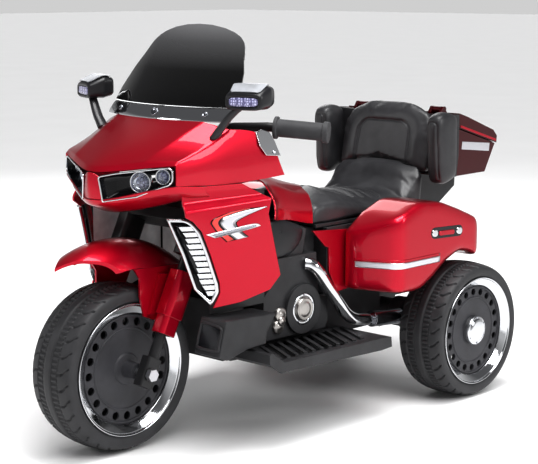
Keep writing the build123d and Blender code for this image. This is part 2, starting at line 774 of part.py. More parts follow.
with BuildPart() as direction_rocker:
    with BuildSketch(ROCKER_SIDE.offset(-8)):
        outline([(-11, -9), (11, -9), (11.2, 2.2), (0, 0.6), (-11.2, 2.2)])
    extrude(amount=16)
    with BuildSketch(ROCKER_SIDE.offset(-10.4)):
        with Locations((0, -ROCKER_PIVOT_DEPTH)):
            Circle(ROCKER_PIN_R)
    extrude(amount=20.8)
save(direction_rocker.part, "direction_rocker")

# ---------------------------------------------------------------- tank, seat and tub
TANK_OUTER = (
    (236, [(0, 451), (66, 450), (118, 438), (148, 402), (146, 374), (0, 374)]),
    (264, [(0, 448), (63, 445), (104, 427), (124, 388), (121, 366), (0, 366)]),
    (300, [(0, 442), (62, 438), (106, 418), (120, 378), (119, 366), (0, 366)]),
    (350, [(0, 424), (58, 421), (98, 404), (114, 372), (114, 351), (0, 351)]),
    (456, [(0, 399), (60, 396), (96, 388), (104, 362), (104, 345), (0, 345)]),
)
TANK_INNER = (
    (240, [(0, 446), (64, 445), (114, 433), (143, 401), (141, 364), (0, 364)]),
    (264, [(0, 443), (61, 440), (99, 422), (119, 386), (115, 335), (0, 335)]),
    (300, [(0, 437), (60, 433), (101, 414), (115, 377), (113, 335), (0, 335)]),
    (350, [(0, 419), (56, 416), (93, 400), (109, 371), (109, 335), (0, 335)]),
    (458, [(0, 394), (58, 391), (91, 384), (99, 361), (99, 335), (0, 335)]),
)
SEAT_NOTCH = [(0, 458), (32, 424), (64, 394), (112, 374)]

with BuildPart() as tank_cover:
    loft(sections(TANK_OUTER), ruled=True)
    with BuildSketch(level(300)):
        outline(both([(0, 230), (160, 230), (160, 300), (130, 364)] + [(x, y - 2.4) for x, y in reversed(SEAT_NOTCH)]))
    extrude(amount=200, mode=Mode.INTERSECT)
    with BuildPart(mode=Mode.PRIVATE) as tank_hollow:
        loft(sections(TANK_INNER), ruled=True)
        with BuildSketch(level(300)):
            outline(both([(0, 234), (156, 234), (156, 298), (126, 357)]
                         + [(x * 0.96, y - 9) for x, y in reversed(SEAT_NOTCH)]))
        extrude(amount=200, mode=Mode.INTERSECT)
    add(tank_hollow.part, mode=Mode.SUBTRACT)
save(tank_cover.part, "tank_cover")

with BuildPart() as battery_tub:
    with BuildSketch(side(-120)):
        outline([(400, 218), (400, 339), (686, 339), (686, 262), (560, 218)])
    extrude(amount=240)
    with BuildSketch(side(-116)):
        outline([(404, 222), (404, 345), (682, 345), (682, 264), (558, 222)])
    extrude(amount=232, mode=Mode.SUBTRACT)
save(battery_tub.part, "battery_tub")

with BuildPart() as battery:
    with BuildSketch(level(222)):
        with Locations((0, 500)):
            RectangleRounded(150, 65, 3)
    extrude(amount=94)
    with BuildSketch(level(316)):
        with Locations((60, 500), (-60, 500)):
            Rectangle(5, 8)
    extrude(amount=6)
save(battery.part, "battery")

SEAT_TOP = [(374, 384), (390, 402), (440, 402), (480, 392), (530, 378), (600, 367), (636, 371), (660, 392),
            (678, 424), (692, 439)]


def seat_plan(inset):
    """Plan outline of the seat, with the notch in front that the tank reaches into."""
    front = [(x, y + inset) for x, y in SEAT_NOTCH]
    return both(front + [(118 - inset, 440), (118 - inset, 600), (112 - inset, 690 - inset), (0, 694 - inset)])


with BuildPart() as seat_base:
    with BuildSketch(level(339.5)):
        outline(seat_plan(5))
    extrude(amount=5.5)
    with BuildSketch(level(328)):
        outline([(-112, 470), (112, 470), (106, 676), (-106, 676)])
        outline([(-106, 478), (106, 478), (100, 668), (-100, 668)])
    extrude(amount=11.5)
    with BuildSketch(level(328)):
        outline([(-107, 475), (107, 475), (101, 671), (-101, 671)])
    extrude(amount=11.5, mode=Mode.SUBTRACT)
save(seat_base.part, "seat_base")

with BuildPart() as seat_cushion:
    with BuildSketch(level(345)):
        outline(seat_plan(0))
    extrude(amount=100)
    with BuildSketch(side(-130)):
        outline([(340, 340), (340, 384)] + SEAT_TOP + [(692, 340)])
    extrude(amount=260, mode=Mode.INTERSECT)
    with BuildSketch(station(360)):
        outline(both([(0, 450), (84, 446), (112, 416), (120, 380), (120, 340), (0, 340)]))
    extrude(amount=-350, mode=Mode.INTERSECT)
save(seat_cushion.part, "seat_cushion")

with BuildPart() as side_covers:
    for start, s in ((120, 1), (-120, -1)):
        with BuildSketch(side(start)):
            outline([(358, 338), (464, 330), (458, 222), (424, 220), (402, 260), (401, 303), (392, 306)])
        extrude(amount=s * 4)
    with BuildSketch(axle_plane(-130, 422, 262)):
        Circle(8)
    extrude(amount=20, mode=Mode.SUBTRACT)
save(side_covers.part, "side_covers")

with BuildPart() as charge_socket:
    with BuildSketch(axle_plane(-120, 422, 262)):
        Circle(8)
    extrude(amount=-5)
    with BuildSketch(axle_plane(-124, 422, 262)):
        Circle(11)
    extrude(amount=-3)
    with BuildSketch(axle_plane(-127, 422, 262)):
        Circle(2.8)
    extrude(amount=6, mode=Mode.SUBTRACT)
save(charge_socket.part, "charge_socket")

# ---------------------------------------------------------------- saddlebags
BAG_REAR_Y = 714.0
BAG_PROFILE = [(438, 224), (438, 330), (482, 360), (535, 380), (600, 374), (650, 357), (707, 335), (714, 325), (714, 259),
               (704, 262), (684, 272), (652, 278), (612, 263), (570, 236), (545, 224), (527, 219)]
BAG_HOLLOW = [(443, 229), (443, 327), (484, 355), (536, 375), (599, 369), (649, 352), (704, 331), (709, 324), (709, 266),
              (703, 267.5), (685, 277), (651, 283), (609, 268), (567, 241), (543, 229), (526, 224)]
BAG_PLAN = [(126, 436), (150, 440), (218, 468), (228, 482), (228, 702), (221, BAG_REAR_Y), (126, BAG_REAR_Y)]
BAG_PLAN_HOLLOW = [(130, 442), (149, 446), (215, 473), (224, 485), (224, 701), (219, 709), (130, 709)]

with BuildPart() as saddlebag_left:
    with BuildSketch(side(BAG_INNER_X)):
        outline(BAG_PROFILE)
    extrude(amount=BAG_OUTER_X - BAG_INNER_X)
    with BuildSketch(level(200)):
        outline(BAG_PLAN)
    extrude(amount=200, mode=Mode.INTERSECT)
    with BuildPart(mode=Mode.PRIVATE) as bag_hollow:
        with BuildSketch(side(BAG_INNER_X)):
            outline(BAG_HOLLOW)
        extrude(amount=BAG_OUTER_X - BAG_INNER_X)
        with BuildSketch(level(200)):
            outline(BAG_PLAN_HOLLOW)
        extrude(amount=200, mode=Mode.INTERSECT)
    add(bag_hollow.part, mode=Mode.SUBTRACT)
save(saddlebag_left.part, "saddlebag_left")
mirrored(saddlebag_left.part, "saddlebag_right")

with BuildPart() as bag_stripes:
    for s in (1, -1):
        with BuildSketch(level(266)):
            outline([(s * 150, 438.5), (s * 218.5, 466.7), (s * 229.8, 481.6), (s * 229.8, 580), (s * 228.1, 580),
                     (s * 228.1, 482), (s * 218, 467.9), (s * 150, 439.9)])
        extrude(amount=11)
save(bag_stripes.part, "bag_stripes")

with BuildPart() as bag_handles:
    for start, s in ((228, 1), (-228, -1)):
        for y in (566, 658):
            with BuildSketch(side(start)):
                with Locations((y, 316)):
                    RectangleRounded(14, 14, 4)
            extrude(amount=s * 7)
        with BuildSketch(side(start + s * 2)):
            with Locations((612, 317)):
                RectangleRounded(98, 10, 4)
        extrude(amount=s * 7)
save(bag_handles.part, "bag_handles")

with BuildPart() as tail_lights:
    for s in (1, -1):
        with BuildSketch(station(BAG_REAR_Y)):
            with Locations((s * 176, 298)):
                RectangleRounded(70, 40, 8)
        extrude(amount=-8)
save(tail_lights.part, "tail_lights")

# ---------------------------------------------------------------- trunk and backrest
HINGE_Y = 751.0
HINGE_Z = 527.0
TRUNK_HALF = 138.0

with BuildPart() as trunk_body:
    with BuildSketch(side(-TRUNK_HALF)):
        outline([(736, 400), (848, 401), (880, 455), (756, 492), (750, 494), (750, 518), (736, 518)])
    extrude(amount=2 * TRUNK_HALF)
    with BuildSketch(side(-TRUNK_HALF + 4)):
        outline([(754, 406), (846, 406), (875, 453), (875, 520), (754, 520)])
    extrude(amount=2 * TRUNK_HALF - 8, mode=Mode.SUBTRACT)
    for x in (-110, -84, 78, 104):
        with BuildSketch(side(x)):
            outline([(740, 512), (750, 512), (757, 522), (757, 530), (754, 533), (748, 533), (740, 522)])
        extrude(amount=6)
    for x in (-108, 80):
        with BuildSketch(side(x)):
            with Locations((HINGE_Y, HINGE_Z)):
                Circle(2.5)
        extrude(amount=28)
save(trunk_body.part, "trunk_body")

with BuildPart() as trunk_lid:
    with BuildSketch(side(-TRUNK_HALF - 2)):
        outline([(760, 492.5), (760, 521), (786, 513), (872, 482), (884, 470), (883, 456)])
    extrude(amount=2 * TRUNK_HALF + 4)
    with BuildSketch(side(-TRUNK_HALF + 3)):
        outline([(764, 480), (764, 515.5), (786, 508.5), (870, 478), (879.5, 468.5), (879, 450)])
    extrude(amount=2 * TRUNK_HALF - 6, mode=Mode.SUBTRACT)
    for x in (-103, 85):
        with BuildSketch(side(x)):
            with Locations((HINGE_Y, HINGE_Z)):
                Circle(6)
            outline([(750, 533), (768, 522), (768, 514), (751, 521)])
            with Locations((HINGE_Y, HINGE_Z)):
                Circle(2.5 + RUNNING, mode=Mode.SUBTRACT)
        extrude(amount=18)
save(trunk_lid.part, "trunk_lid")

LEAN = radians(12)
with BuildPart() as backrest_pad:
    back_face = Plane(origin=place(0, 718, 436), x_dir=(1, 0, 0), z_dir=(0, -cos(LEAN), sin(LEAN)))
    with BuildSketch(back_face):
        outline(both([(0, 108), (56, 104), (96, 88), (113, 60), (116, 4), (116, -28), (0, -28)]))
    extrude(amount=20)
save(backrest_pad.part, "backrest_pad")

with BuildPart() as arm_pads:
    for start, s in ((122, 1), (-122, -1)):
        with BuildSketch(side(start)):
            outline([(676, 392), (667, 510), (676, 524), (700, 530), (735.7, 522), (735.7, 401), (700, 388)])
        extrude(amount=s * 40)
save(arm_pads.part, "arm_pads")

with BuildPart() as rear_support:
    for x in (-60, 54):
        with BuildSketch(side(x)):
            outline([(692, 197), (758, 197), (806, 337), (854, 366), (856, 399.5), (700, 399.5), (694, 330)])
        extrude(amount=6)
    with BuildSketch(side(-54)):
        outline([(742, 393), (856, 393), (856, 399.5), (742, 399.5)])
        outline([(692, 197), (758, 197), (758, 203), (692, 203)])
        outline([(692, 203), (692, 250), (698, 250), (698, 203)])
    extrude(amount=108)
save(rear_support.part, "rear_support")
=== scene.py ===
import json
import math
from contextlib import contextmanager

import bmesh
import bpy
import numpy as np
from mathutils.bvhtree import BVHTree
from mathutils import Matrix, Vector

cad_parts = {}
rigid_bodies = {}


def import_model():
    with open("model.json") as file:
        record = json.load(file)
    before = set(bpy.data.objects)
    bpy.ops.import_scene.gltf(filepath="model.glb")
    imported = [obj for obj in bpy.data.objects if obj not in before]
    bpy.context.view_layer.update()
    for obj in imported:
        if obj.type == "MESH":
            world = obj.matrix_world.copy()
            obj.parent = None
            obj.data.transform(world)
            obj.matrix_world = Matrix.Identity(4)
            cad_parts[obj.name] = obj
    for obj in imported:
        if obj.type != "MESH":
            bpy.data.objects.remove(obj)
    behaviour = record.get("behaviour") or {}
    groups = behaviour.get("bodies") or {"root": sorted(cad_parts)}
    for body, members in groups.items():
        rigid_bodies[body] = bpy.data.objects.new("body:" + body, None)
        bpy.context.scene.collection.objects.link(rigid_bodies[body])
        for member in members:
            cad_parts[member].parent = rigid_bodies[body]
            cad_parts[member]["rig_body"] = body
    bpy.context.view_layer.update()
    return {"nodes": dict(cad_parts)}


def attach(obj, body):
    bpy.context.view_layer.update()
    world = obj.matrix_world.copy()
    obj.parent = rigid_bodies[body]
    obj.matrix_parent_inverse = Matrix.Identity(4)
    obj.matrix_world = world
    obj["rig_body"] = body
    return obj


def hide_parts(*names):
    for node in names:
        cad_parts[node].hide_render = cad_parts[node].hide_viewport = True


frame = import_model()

AXLE_Y = -372.0
NODES = frame["nodes"]


def P(x, y, z):
    """Row-frame point in metres, from millimetres with y measured behind the front axle."""
    return Vector((x * 0.001, (AXLE_Y + y) * 0.001, z * 0.001))


# ---------------------------------------------------------------- materials
def material(name, color, rough=0.5, metal=0.0, coat=0.0, coat_rough=0.03, spec=0.5):
    """A node material with its Principled shader, and a helper to add nodes to it."""
    m = bpy.data.materials.new(name)
    m.use_nodes = True
    nt = m.node_tree
    bsdf = next(n for n in nt.nodes if n.type == "BSDF_PRINCIPLED")
    bsdf.inputs["Base Color"].default_value = (*color, 1.0)
    bsdf.inputs["Roughness"].default_value = rough
    bsdf.inputs["Metallic"].default_value = metal
    bsdf.inputs["Coat Weight"].default_value = coat
    bsdf.inputs["Coat Roughness"].default_value = coat_rough
    bsdf.inputs["Specular IOR Level"].default_value = spec
    return m, nt, bsdf


def add(nt, kind, **values):
    """A node of that kind, with inputs set by name."""
    n = nt.nodes.new(kind)
    for key, value in values.items():
        key = key.replace("_", " ")
        if key in n.inputs:
            n.inputs[key].default_value = value
    return n


def noise(nt, scale, detail=3.0, rough=0.5, output="Fac"):
    """Noise over object position, so it needs no UVs."""
    co = nt.nodes.new("ShaderNodeTexCoord")
    n = add(nt, "ShaderNodeTexNoise", Scale=scale, Detail=detail, Roughness=rough)
    nt.links.new(co.outputs["Object"], n.inputs["Vector"])
    return n.outputs[output]


def ramp(nt, source, stops):
    """Colour ramp fed by source, with (position, colour) stops."""
    r = nt.nodes.new("ShaderNodeValToRGB")
    els = r.color_ramp.elements
    els[0].position, els[0].color = stops[0][0], (*stops[0][1], 1)
    els[1].position, els[1].color = stops[-1][0], (*stops[-1][1], 1)
    for pos, col in stops[1:-1]:
        e = els.new(pos)
        e.color = (*col, 1)
    nt.links.new(source, r.inputs["Fac"])
    return r.outputs["Color"]


def mottle(nt, bsdf, fac, dark, light):
    """Base colour that wanders between two shades."""
    nt.links.new(ramp(nt, fac, [(0.3, dark), (0.7, light)]), bsdf.inputs["Base Color"])


def vary_rough(nt, bsdf, fac, low, high):
    """Roughness that wanders between two values."""
    scaled_fac = add(nt, "ShaderNodeMapRange", To_Min=low, To_Max=high)
    nt.links.new(fac, scaled_fac.inputs["Value"])
    nt.links.new(scaled_fac.outputs["Result"], bsdf.inputs["Roughness"])


def rounded_normal(nt, radius):
    """The normal of edges rounded in the shader, or None for a radius of 0."""
    if not radius:
        return None
    bevel = add(nt, "ShaderNodeBevel", Radius=radius)
    bevel.samples = 6
    return bevel.outputs["Normal"]


def mixed(nt, factor, first, second, blend="MIX"):
    """Two outputs mixed by a fixed factor."""
    mix = nt.nodes.new("ShaderNodeMixRGB")
    mix.blend_type = blend
    mix.inputs["Fac"].default_value = factor
    nt.links.new(first, mix.inputs["Color1"])
    nt.links.new(second, mix.inputs["Color2"])
    return mix.outputs["Color"]


def cells(nt, scale, **values):
    """Distance to the edges of Voronoi cells over object position."""
    co = nt.nodes.new("ShaderNodeTexCoord")
    v = add(nt, "ShaderNodeTexVoronoi", Scale=scale, **values)
    v.feature = "DISTANCE_TO_EDGE"
    nt.links.new(co.outputs["Object"], v.inputs["Vector"])
    return v.outputs["Distance"]


def bump(nt, bsdf, height, strength, distance, under=None, socket="Normal"):
    """Bump from a height output into the shader's normal."""
    b = add(nt, "ShaderNodeBump", Strength=strength, Distance=distance)
    nt.links.new(height, b.inputs["Height"])
    if under is not None:
        nt.links.new(under, b.inputs["Normal"])
    nt.links.new(b.outputs["Normal"], bsdf.inputs[socket])


def candy_paint(name, mid, painted_shade_tone, light):
    """Metallic candy paint with painted shade: lighter where the surface faces the view and deeper towards
    its grazing edges, fine flake, and a clear coat.
    """
    m, nt, bsdf = material(name, mid, rough=0.3, metal=0.6, coat=0.45, coat_rough=0.02, spec=0.2)
    # painted shade: the ramp runs from the lit tone where the surface faces the view to the deep tone at its
    # grazing edges
    facing_shade = add(nt, "ShaderNodeLayerWeight", Blend=0.35)
    r = ramp(nt, facing_shade.outputs["Facing"], [(0.0, light), (0.45, mid), (1.0, painted_shade_tone)])
    color = mixed(nt, 0.18, r, noise(nt, 900, 2, output="Color"), "MULTIPLY")
    nt.links.new(color, bsdf.inputs["Base Color"])
    bump(nt, bsdf, noise(nt, 14, 2), 0.05, 0.001, socket="Coat Normal")
    return m


def moulded(name, color, rough, grain, scale=2600, bevel=0.0012):
    """Grained plastic, with slightly rounded edges where a solid is left as CAD made it."""
    m, nt, bsdf = material(name, color, rough=rough, spec=0.36)
    large = noise(nt, 30, 3)
    mottle(nt, bsdf, large, tuple(c * 0.8 for c in color), tuple(min(1, c * 1.35) for c in color))
    vary_rough(nt, bsdf, large, rough - 0.06, rough + 0.1)
    bump(nt, bsdf, noise(nt, scale, 4, 0.6), grain, 0.0004, rounded_normal(nt, bevel))
    return m


def metal(name, color, rough, vary, scale=60):
    """Plated or bare metal with slightly uneven polish."""
    m, nt, bsdf = material(name, color, rough=rough, metal=1.0)
    n = noise(nt, scale, 5, 0.6)
    vary_rough(nt, bsdf, n, max(0.01, rough - vary), rough + vary)
    bump(nt, bsdf, n, 0.06, 0.0004, rounded_normal(nt, 0.0008))
    return m


# candy red, painted lighter facing the view and darker at grazing edges as painted shade
RED = candy_paint("candy_red", (0.45, 0.001, 0.016), (0.09, 0.0, 0.002), (0.60, 0.002, 0.026))
# a darker copy of the same candy red, painting shade onto the trunk
RED_PAINTED_SHADE = candy_paint("candy_red_painted_shade", (0.055, 0.001, 0.003), (0.02, 0.0, 0.001), (0.08, 0.001, 0.004))
BLACK = moulded("black_plastic", (0.024, 0.024, 0.026), 0.42, 0.25)
BLACK_SATIN = moulded("black_satin", (0.013, 0.013, 0.015), 0.28, 0.1, 1500)
WHEEL_GREY = moulded("wheel_charcoal", (0.036, 0.036, 0.041), 0.45, 0.2)
# painted light: pale sheets inside the front brackets stand in for the bright backdrop seen through the gap
PALE_BACKDROP_STANDIN = moulded("painted_backdrop_pale", (0.80, 0.80, 0.82), 0.4, 0.05)
GLOSS = moulded("gloss_black", (0.008, 0.008, 0.01), 0.1, 0.03, 400)
GREY = moulded("grey_plastic", (0.30, 0.31, 0.33), 0.35, 0.12)
CHROME = metal("chrome", (0.66, 0.67, 0.69), 0.08, 0.04)
DARK_CHROME = metal("dark_chrome", (0.32, 0.33, 0.36), 0.16, 0.05)
NICKEL = metal("satin_nickel", (0.46, 0.44, 0.42), 0.3, 0.06, 200)
STEEL = metal("steel", (0.52, 0.52, 0.54), 0.32, 0.08, 300)
SILVER = metal("silver_foil", (0.74, 0.74, 0.78), 0.3, 0.06, 900)
FRAME_BLACK = moulded("black_steel", (0.012, 0.012, 0.013), 0.33, 0.15, 900)
RUBBER = moulded("grip_rubber", (0.045, 0.045, 0.048), 0.6, 0.35, 1800)
CORAL = moulded("coral_foil", (0.75, 0.07, 0.06), 0.3, 0.02, 900, 0)
BATTERY = moulded("battery_grey", (0.11, 0.12, 0.15), 0.45, 0.15)
LAMP_RED = moulded("lamp_red", (0.42, 0.0, 0.008), 0.12, 0.05, 300)


def tyre_material():
    """Matt rubber."""
    m, nt, bsdf = material("tyre_black", (0.03, 0.03, 0.032), rough=0.55)
    large = noise(nt, 40, 4)
    mottle(nt, bsdf, large, (0.016, 0.016, 0.018), (0.030, 0.030, 0.033))
    vary_rough(nt, bsdf, large, 0.45, 0.68)
    bump(nt, bsdf, noise(nt, 1400, 4, 0.6), 0.25, 0.0004)
    return m


def leather_material():
    """Black leatherette: a fine cell grain under a slow change of shade."""
    m, nt, bsdf = material("leather", (0.016, 0.016, 0.018), rough=0.38)
    n = noise(nt, 260, 4, 0.6)
    bump(nt, bsdf, mixed(nt, 0.35, cells(nt, 520), n), 0.35, 0.0006)
    mottle(nt, bsdf, noise(nt, 22, 3), (0.015, 0.015, 0.017), (0.036, 0.036, 0.039))
    vary_rough(nt, bsdf, n, 0.3, 0.5)
    return m


def screen_material():
    """Smoked screen, nearly opaque all over: nearly black at its foot, and painted lighter grey towards the
    top as painted light, standing in for light through a clearer tint.
    """
    m, nt, bsdf = material("smoke_screen", (0.01, 0.01, 0.012), rough=0.06, coat=0.6)
    geo = nt.nodes.new("ShaderNodeNewGeometry")
    sep = nt.nodes.new("ShaderNodeSeparateXYZ")
    nt.links.new(geo.outputs["Position"], sep.inputs["Vector"])
    height = add(nt, "ShaderNodeMapRange", From_Min=0.575, From_Max=0.70)
    nt.links.new(sep.outputs["Z"], height.inputs["Value"])
    shade = mixed(nt, 0.04, height.outputs["Result"], noise(nt, 300, 2))
    # painted light: the grey towards the top stands in for light coming through the screen
    r = ramp(nt, shade, [(0.0, (0.001, 0.001, 0.001)), (0.4, (0.005, 0.005, 0.005)),
                         (0.75, (0.06, 0.06, 0.062)), (1.0, (0.15, 0.15, 0.155))])
    nt.links.new(r, bsdf.inputs["Base Color"])
    bsdf.inputs["Alpha"].default_value = 0.985
    return m


def lens_material():
    """Clear lamp plastic."""
    m, nt, bsdf = material("lamp_clear", (0.85, 0.9, 1.0), rough=0.03, coat=0.5)
    bsdf.inputs["Transmission Weight"].default_value = 0.85
    bsdf.inputs["IOR"].default_value = 1.45
    bump(nt, bsdf, noise(nt, 120, 2), 0.05, 0.0004)
    return m


def led_material():
    """Honeycomb lamp cover, pale violet cells in a dark net."""
    m, nt, bsdf = material("led_cells", (0.7, 0.68, 0.95), rough=0.2, coat=1.0)
    edge = cells(nt, 230, Randomness=0.35)
    r = ramp(nt, edge, [(0.06, (0.10, 0.09, 0.22)), (0.22, (0.55, 0.55, 0.85)), (0.5, (0.92, 0.92, 1.0))])
    nt.links.new(r, bsdf.inputs["Base Color"])
    bump(nt, bsdf, edge, 0.5, 0.001)
    return m


TYRE = tyre_material()
LEATHER = leather_material()
SCREEN = screen_material()
LENS = lens_material()
LED = led_material()
MIRROR = metal("mirror_glass", (0.9, 0.92, 0.94), 0.02, 0.01)

SIDES = ((1, "left"), (-1, "right"))


# ---------------------------------------------------------------- mesh helpers
@contextmanager
def editing(me):
    """The mesh as a bmesh, written back when the block ends."""
    bm = bmesh.new()
    bm.from_mesh(me)
    yield bm
    bm.to_mesh(me)
    bm.free()


def linked(name, data):
    """A new object in the scene."""
    o = bpy.data.objects.new(name, data)
    bpy.context.scene.collection.objects.link(o)
    return o


def mesh_of(name, verts, faces):
    """A mesh from vertices (Vectors in metres) and faces."""
    me = bpy.data.meshes.new(name)
    me.from_pydata([tuple(v) for v in verts], [], faces)
    return me


def paint(me, mat):
    """Gives a mesh that one material."""
    me.materials.clear()
    me.materials.append(mat)


def own(o, body="chassis", replaces=()):
    """Says which body a finished piece rides on, and what it stands for."""
    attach(o, body)
    if replaces:
        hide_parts(*replaces)
    return o


def put(name, verts, faces, mat, body="chassis", replaces=(), recalc=True):
    """A new piece from vertices (Vectors in metres) and faces, riding on a body."""
    me = mesh_of(name, verts, faces)
    paint(me, mat)
    with editing(me) as bm:
        bmesh.ops.remove_doubles(bm, verts=bm.verts, dist=1e-6)
        if recalc:
            bmesh.ops.recalc_face_normals(bm, faces=bm.faces)
        for f in bm.faces:
            f.smooth = True
    return own(linked(name, me), body, replaces)


def settle(o):
    """Applies every modifier to the mesh."""
    bpy.context.view_layer.update()
    graph = bpy.context.evaluated_depsgraph_get()
    me = bpy.data.meshes.new_from_object(o.evaluated_get(graph))
    o.modifiers.clear()
    o.data = me
    return o


def modify(o, name, kind, **settings):
    """Adds a modifier with those settings, without applying it."""
    assign(o.modifiers.new(name, kind), **settings)


def assign(thing, **values):
    """Sets several properties of one thing."""
    for key, value in values.items():
        setattr(thing, key, value)


def round_edges(o, width, segments=3, angle=30):
    """Bevels the edges sharper than angle by width mm, and evens out the normals."""
    modify(o, "edge", "BEVEL", width=width * 0.001, segments=segments, limit_method="ANGLE",
           angle_limit=math.radians(angle), use_clamp_overlap=True, miter_outer="MITER_ARC")
    modify(o, "normals", "WEIGHTED_NORMAL", keep_sharp=False, weight=80)
    return settle(o)


def walled(o, wall, offset):
    """Adds a wall of that many mm as a modifier."""
    modify(o, "wall", "SOLIDIFY", thickness=wall * 0.001, offset=offset)


def remeshed(o, voxel):
    """One even closed skin over everything in the object."""
    modify(o, "even", "REMESH", mode="VOXEL", voxel_size=voxel)
    settle(o)


def soften(node, mat, width=1.5, segments=3):
    """A copy of a CAD node with edges rounded by width mm, shown in its place."""
    me = NODES[node].data.copy()
    me.name = node + "_soft"
    with editing(me) as bm:
        bmesh.ops.remove_doubles(bm, verts=bm.verts, dist=2e-6)
        bmesh.ops.dissolve_limit(bm, angle_limit=math.radians(1.0), verts=bm.verts, edges=bm.edges)
        for f in bm.faces:
            f.smooth = True
    paint(me, mat)
    o = round_edges(linked(node + "_shown", me), width, segments)
    return own(o, NODES[node]["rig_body"], (node,))


def grid_faces(rows, cols, wrap_rows=False, wrap_cols=False):
    """Quads of a rows by cols grid of vertices in row order."""
    out = []
    for i in range(rows if wrap_rows else rows - 1):
        for j in range(cols if wrap_cols else cols - 1):
            a = i * cols + j
            b = i * cols + (j + 1) % cols
            c = ((i + 1) % rows) * cols + (j + 1) % cols
            d = ((i + 1) % rows) * cols + j
            out.append((a, b, c, d))
    return out


def turned(name, centre, axis, profile, mat, segments=48, body="chassis", replaces=()):
    """A piece turned about an axis: profile is (height, radius) in mm along it from centre."""
    n = Vector(axis).normalized()
    up = Vector((0, 0, 1)) if abs(n.z) < 0.9 else Vector((0, 1, 0))
    s = n.cross(up).normalized()
    t = n.cross(s)
    verts = []
    for k in range(segments):
        a = 2 * math.pi * k / segments
        d = s * math.cos(a) + t * math.sin(a)
        verts += [centre + (n * h + d * r) * 0.001 for h, r in profile]
    return put(name, verts, grid_faces(segments, len(profile), wrap_rows=True), mat, body, replaces)


def smooth_line(points, n, closed=False):
    """Catmull-Rom curve through points, n samples a span."""
    pts = [Vector(p) for p in points]
    out = []
    count = len(pts) if closed else len(pts) - 1
    for i in range(count):
        p1, p2 = pts[i], pts[(i + 1) % len(pts)]
        p0 = pts[i - 1] if (closed or i > 0) else p1 * 2 - p2
        p3 = pts[(i + 2) % len(pts)] if (closed or i + 2 < len(pts)) else p2 * 2 - p1
        for k in range(n):
            t = k / n
            out.append(0.5 * ((2 * p1) + (p2 - p0) * t + (2 * p0 - 5 * p1 + 4 * p2 - p3) * t * t
                              + (3 * p1 - p0 - 3 * p2 + p3) * t * t * t))
    if not closed:
        out.append(pts[-1].copy())
    return out


def tube(name, points, radius, mat, sides=16, closed=False, radii=None, flat=1.0):
    """A round bar along points in metres; radius in mm, flat squashes it."""
    n = len(points)
    verts = []
    side = None
    for i, p in enumerate(points):
        a = points[i - 1] if (closed or i > 0) else p
        b = points[(i + 1) % n] if (closed or i < n - 1) else p
        d = (b - a).normalized()
        if side is None:
            side = d.cross(Vector((0, 0, 1)) if abs(d.z) < 0.9 else Vector((0, 1, 0))).normalized()
        else:
            side = (side - d * side.dot(d)).normalized()
        other = d.cross(side)
        r = (radii[i] if radii else radius) * 0.001
        for k in range(sides):
            t = 2 * math.pi * k / sides
            verts.append(p + side * math.cos(t) * r + other * math.sin(t) * r * flat)
    faces = grid_faces(n, sides, wrap_rows=closed, wrap_cols=True)
    if not closed:
        faces += end_caps(n, sides)
    return put(name, verts, faces, mat)


def end_caps(rings, n):
    """The first and the last ring of n vertices, as faces."""
    return [tuple(range(n)), tuple((rings - 1) * n + k for k in range(n))]


def loft(name, rings, mat):
    """A closed skin over rings of points in metres."""
    n = len(rings[0])
    return put(name, sum(rings, []), grid_faces(len(rings), n, wrap_cols=True) + end_caps(len(rings), n),
               mat)


def prism_faces(k):
    """Faces of a prism whose first k vertices are one end and the next k the other."""
    sides = [(i, (i + 1) % k, k + (i + 1) % k, k + i) for i in range(k)]
    return [tuple(range(k)), tuple(reversed(range(k, 2 * k)))] + sides


def slab(name, outline, normal, depth, mat, bevel=1.0, body="chassis"):
    """A flat plate from a closed outline of points in metres, thickened against normal."""
    back = Vector(normal).normalized() * depth * 0.001
    o = put(name, outline + [p - back for p in outline], prism_faces(len(outline)), mat, body)
    if bevel:
        round_edges(o, bevel, 3, 25)
    return o


# ---------------------------------------------------------------- wheels
def smoothstep(t):
    """0 below 0, 1 above 1, and an S between, for numbers and arrays."""
    t = np.clip(t, 0, 1)
    return t * t * (3 - 2 * t)


# tyre sections as (mm from the middle, part of the wheel's radius); ROWS is the number of sections round it
RIBS, HOOKS, ROWS = 96, 32, 768
GROOVES, GROOVE_DEPTH, RIB_DEPTH = (9.7, 24.0), 3.2, 2.6
SIDEWALL = [(40, 0.795), (44.5, 0.80), (47, 0.83), (48, 0.875), (47.6, 0.915), (45, 0.945), (39, 0.966),
            (29, 0.982), (15, 0.994), (0, 1.0)]
LINER = [(40, 0.795), (40, 0.86), (30, 0.93), (-30, 0.93), (-40, 0.86), (-40, 0.795)]
STATIONS = (38.5, 37, 35.5, 34, 32.5, 31, 29.5, 28, 26.8, 25.6, 24.9, 24, 23.1, 22.4, 21.6, 17.5, 13, 12,
            11.3, 10.6, 9.7, 8.8, 8, 4, 0)
RIM = [(46.0, 0.797), (47.6, 0.793), (47.9, 0.786), (46.8, 0.775), (45.3, 0.768), (44.9, 0.760),
       (43.0, 0.735),
       (40.6, 0.705), (38.6, 0.682), (37.6, 0.672), (36.2, 0.668), (34.4, 0.668)]
DISC_BEAD = [(34.2, 0.655), (36.0, 0.652), (36.8, 0.643), (36.8, 0.636), (36.0, 0.630), (34.2, 0.626)]
DISC_STEP = [(34.2, 0.50), (35.4, 0.495), (35.6, 0.485), (35.2, 0.475), (34.2, 0.47)]
CAP = [(38, 27), (42.5, 27), (43.8, 26.2), (44.4, 25), (44.2, 22.5), (45.5, 21.5), (46.6, 20), (47.3, 16),
       (47.9, 8), (48, 0.01)]
ALONG_X = (1, 0, 0)


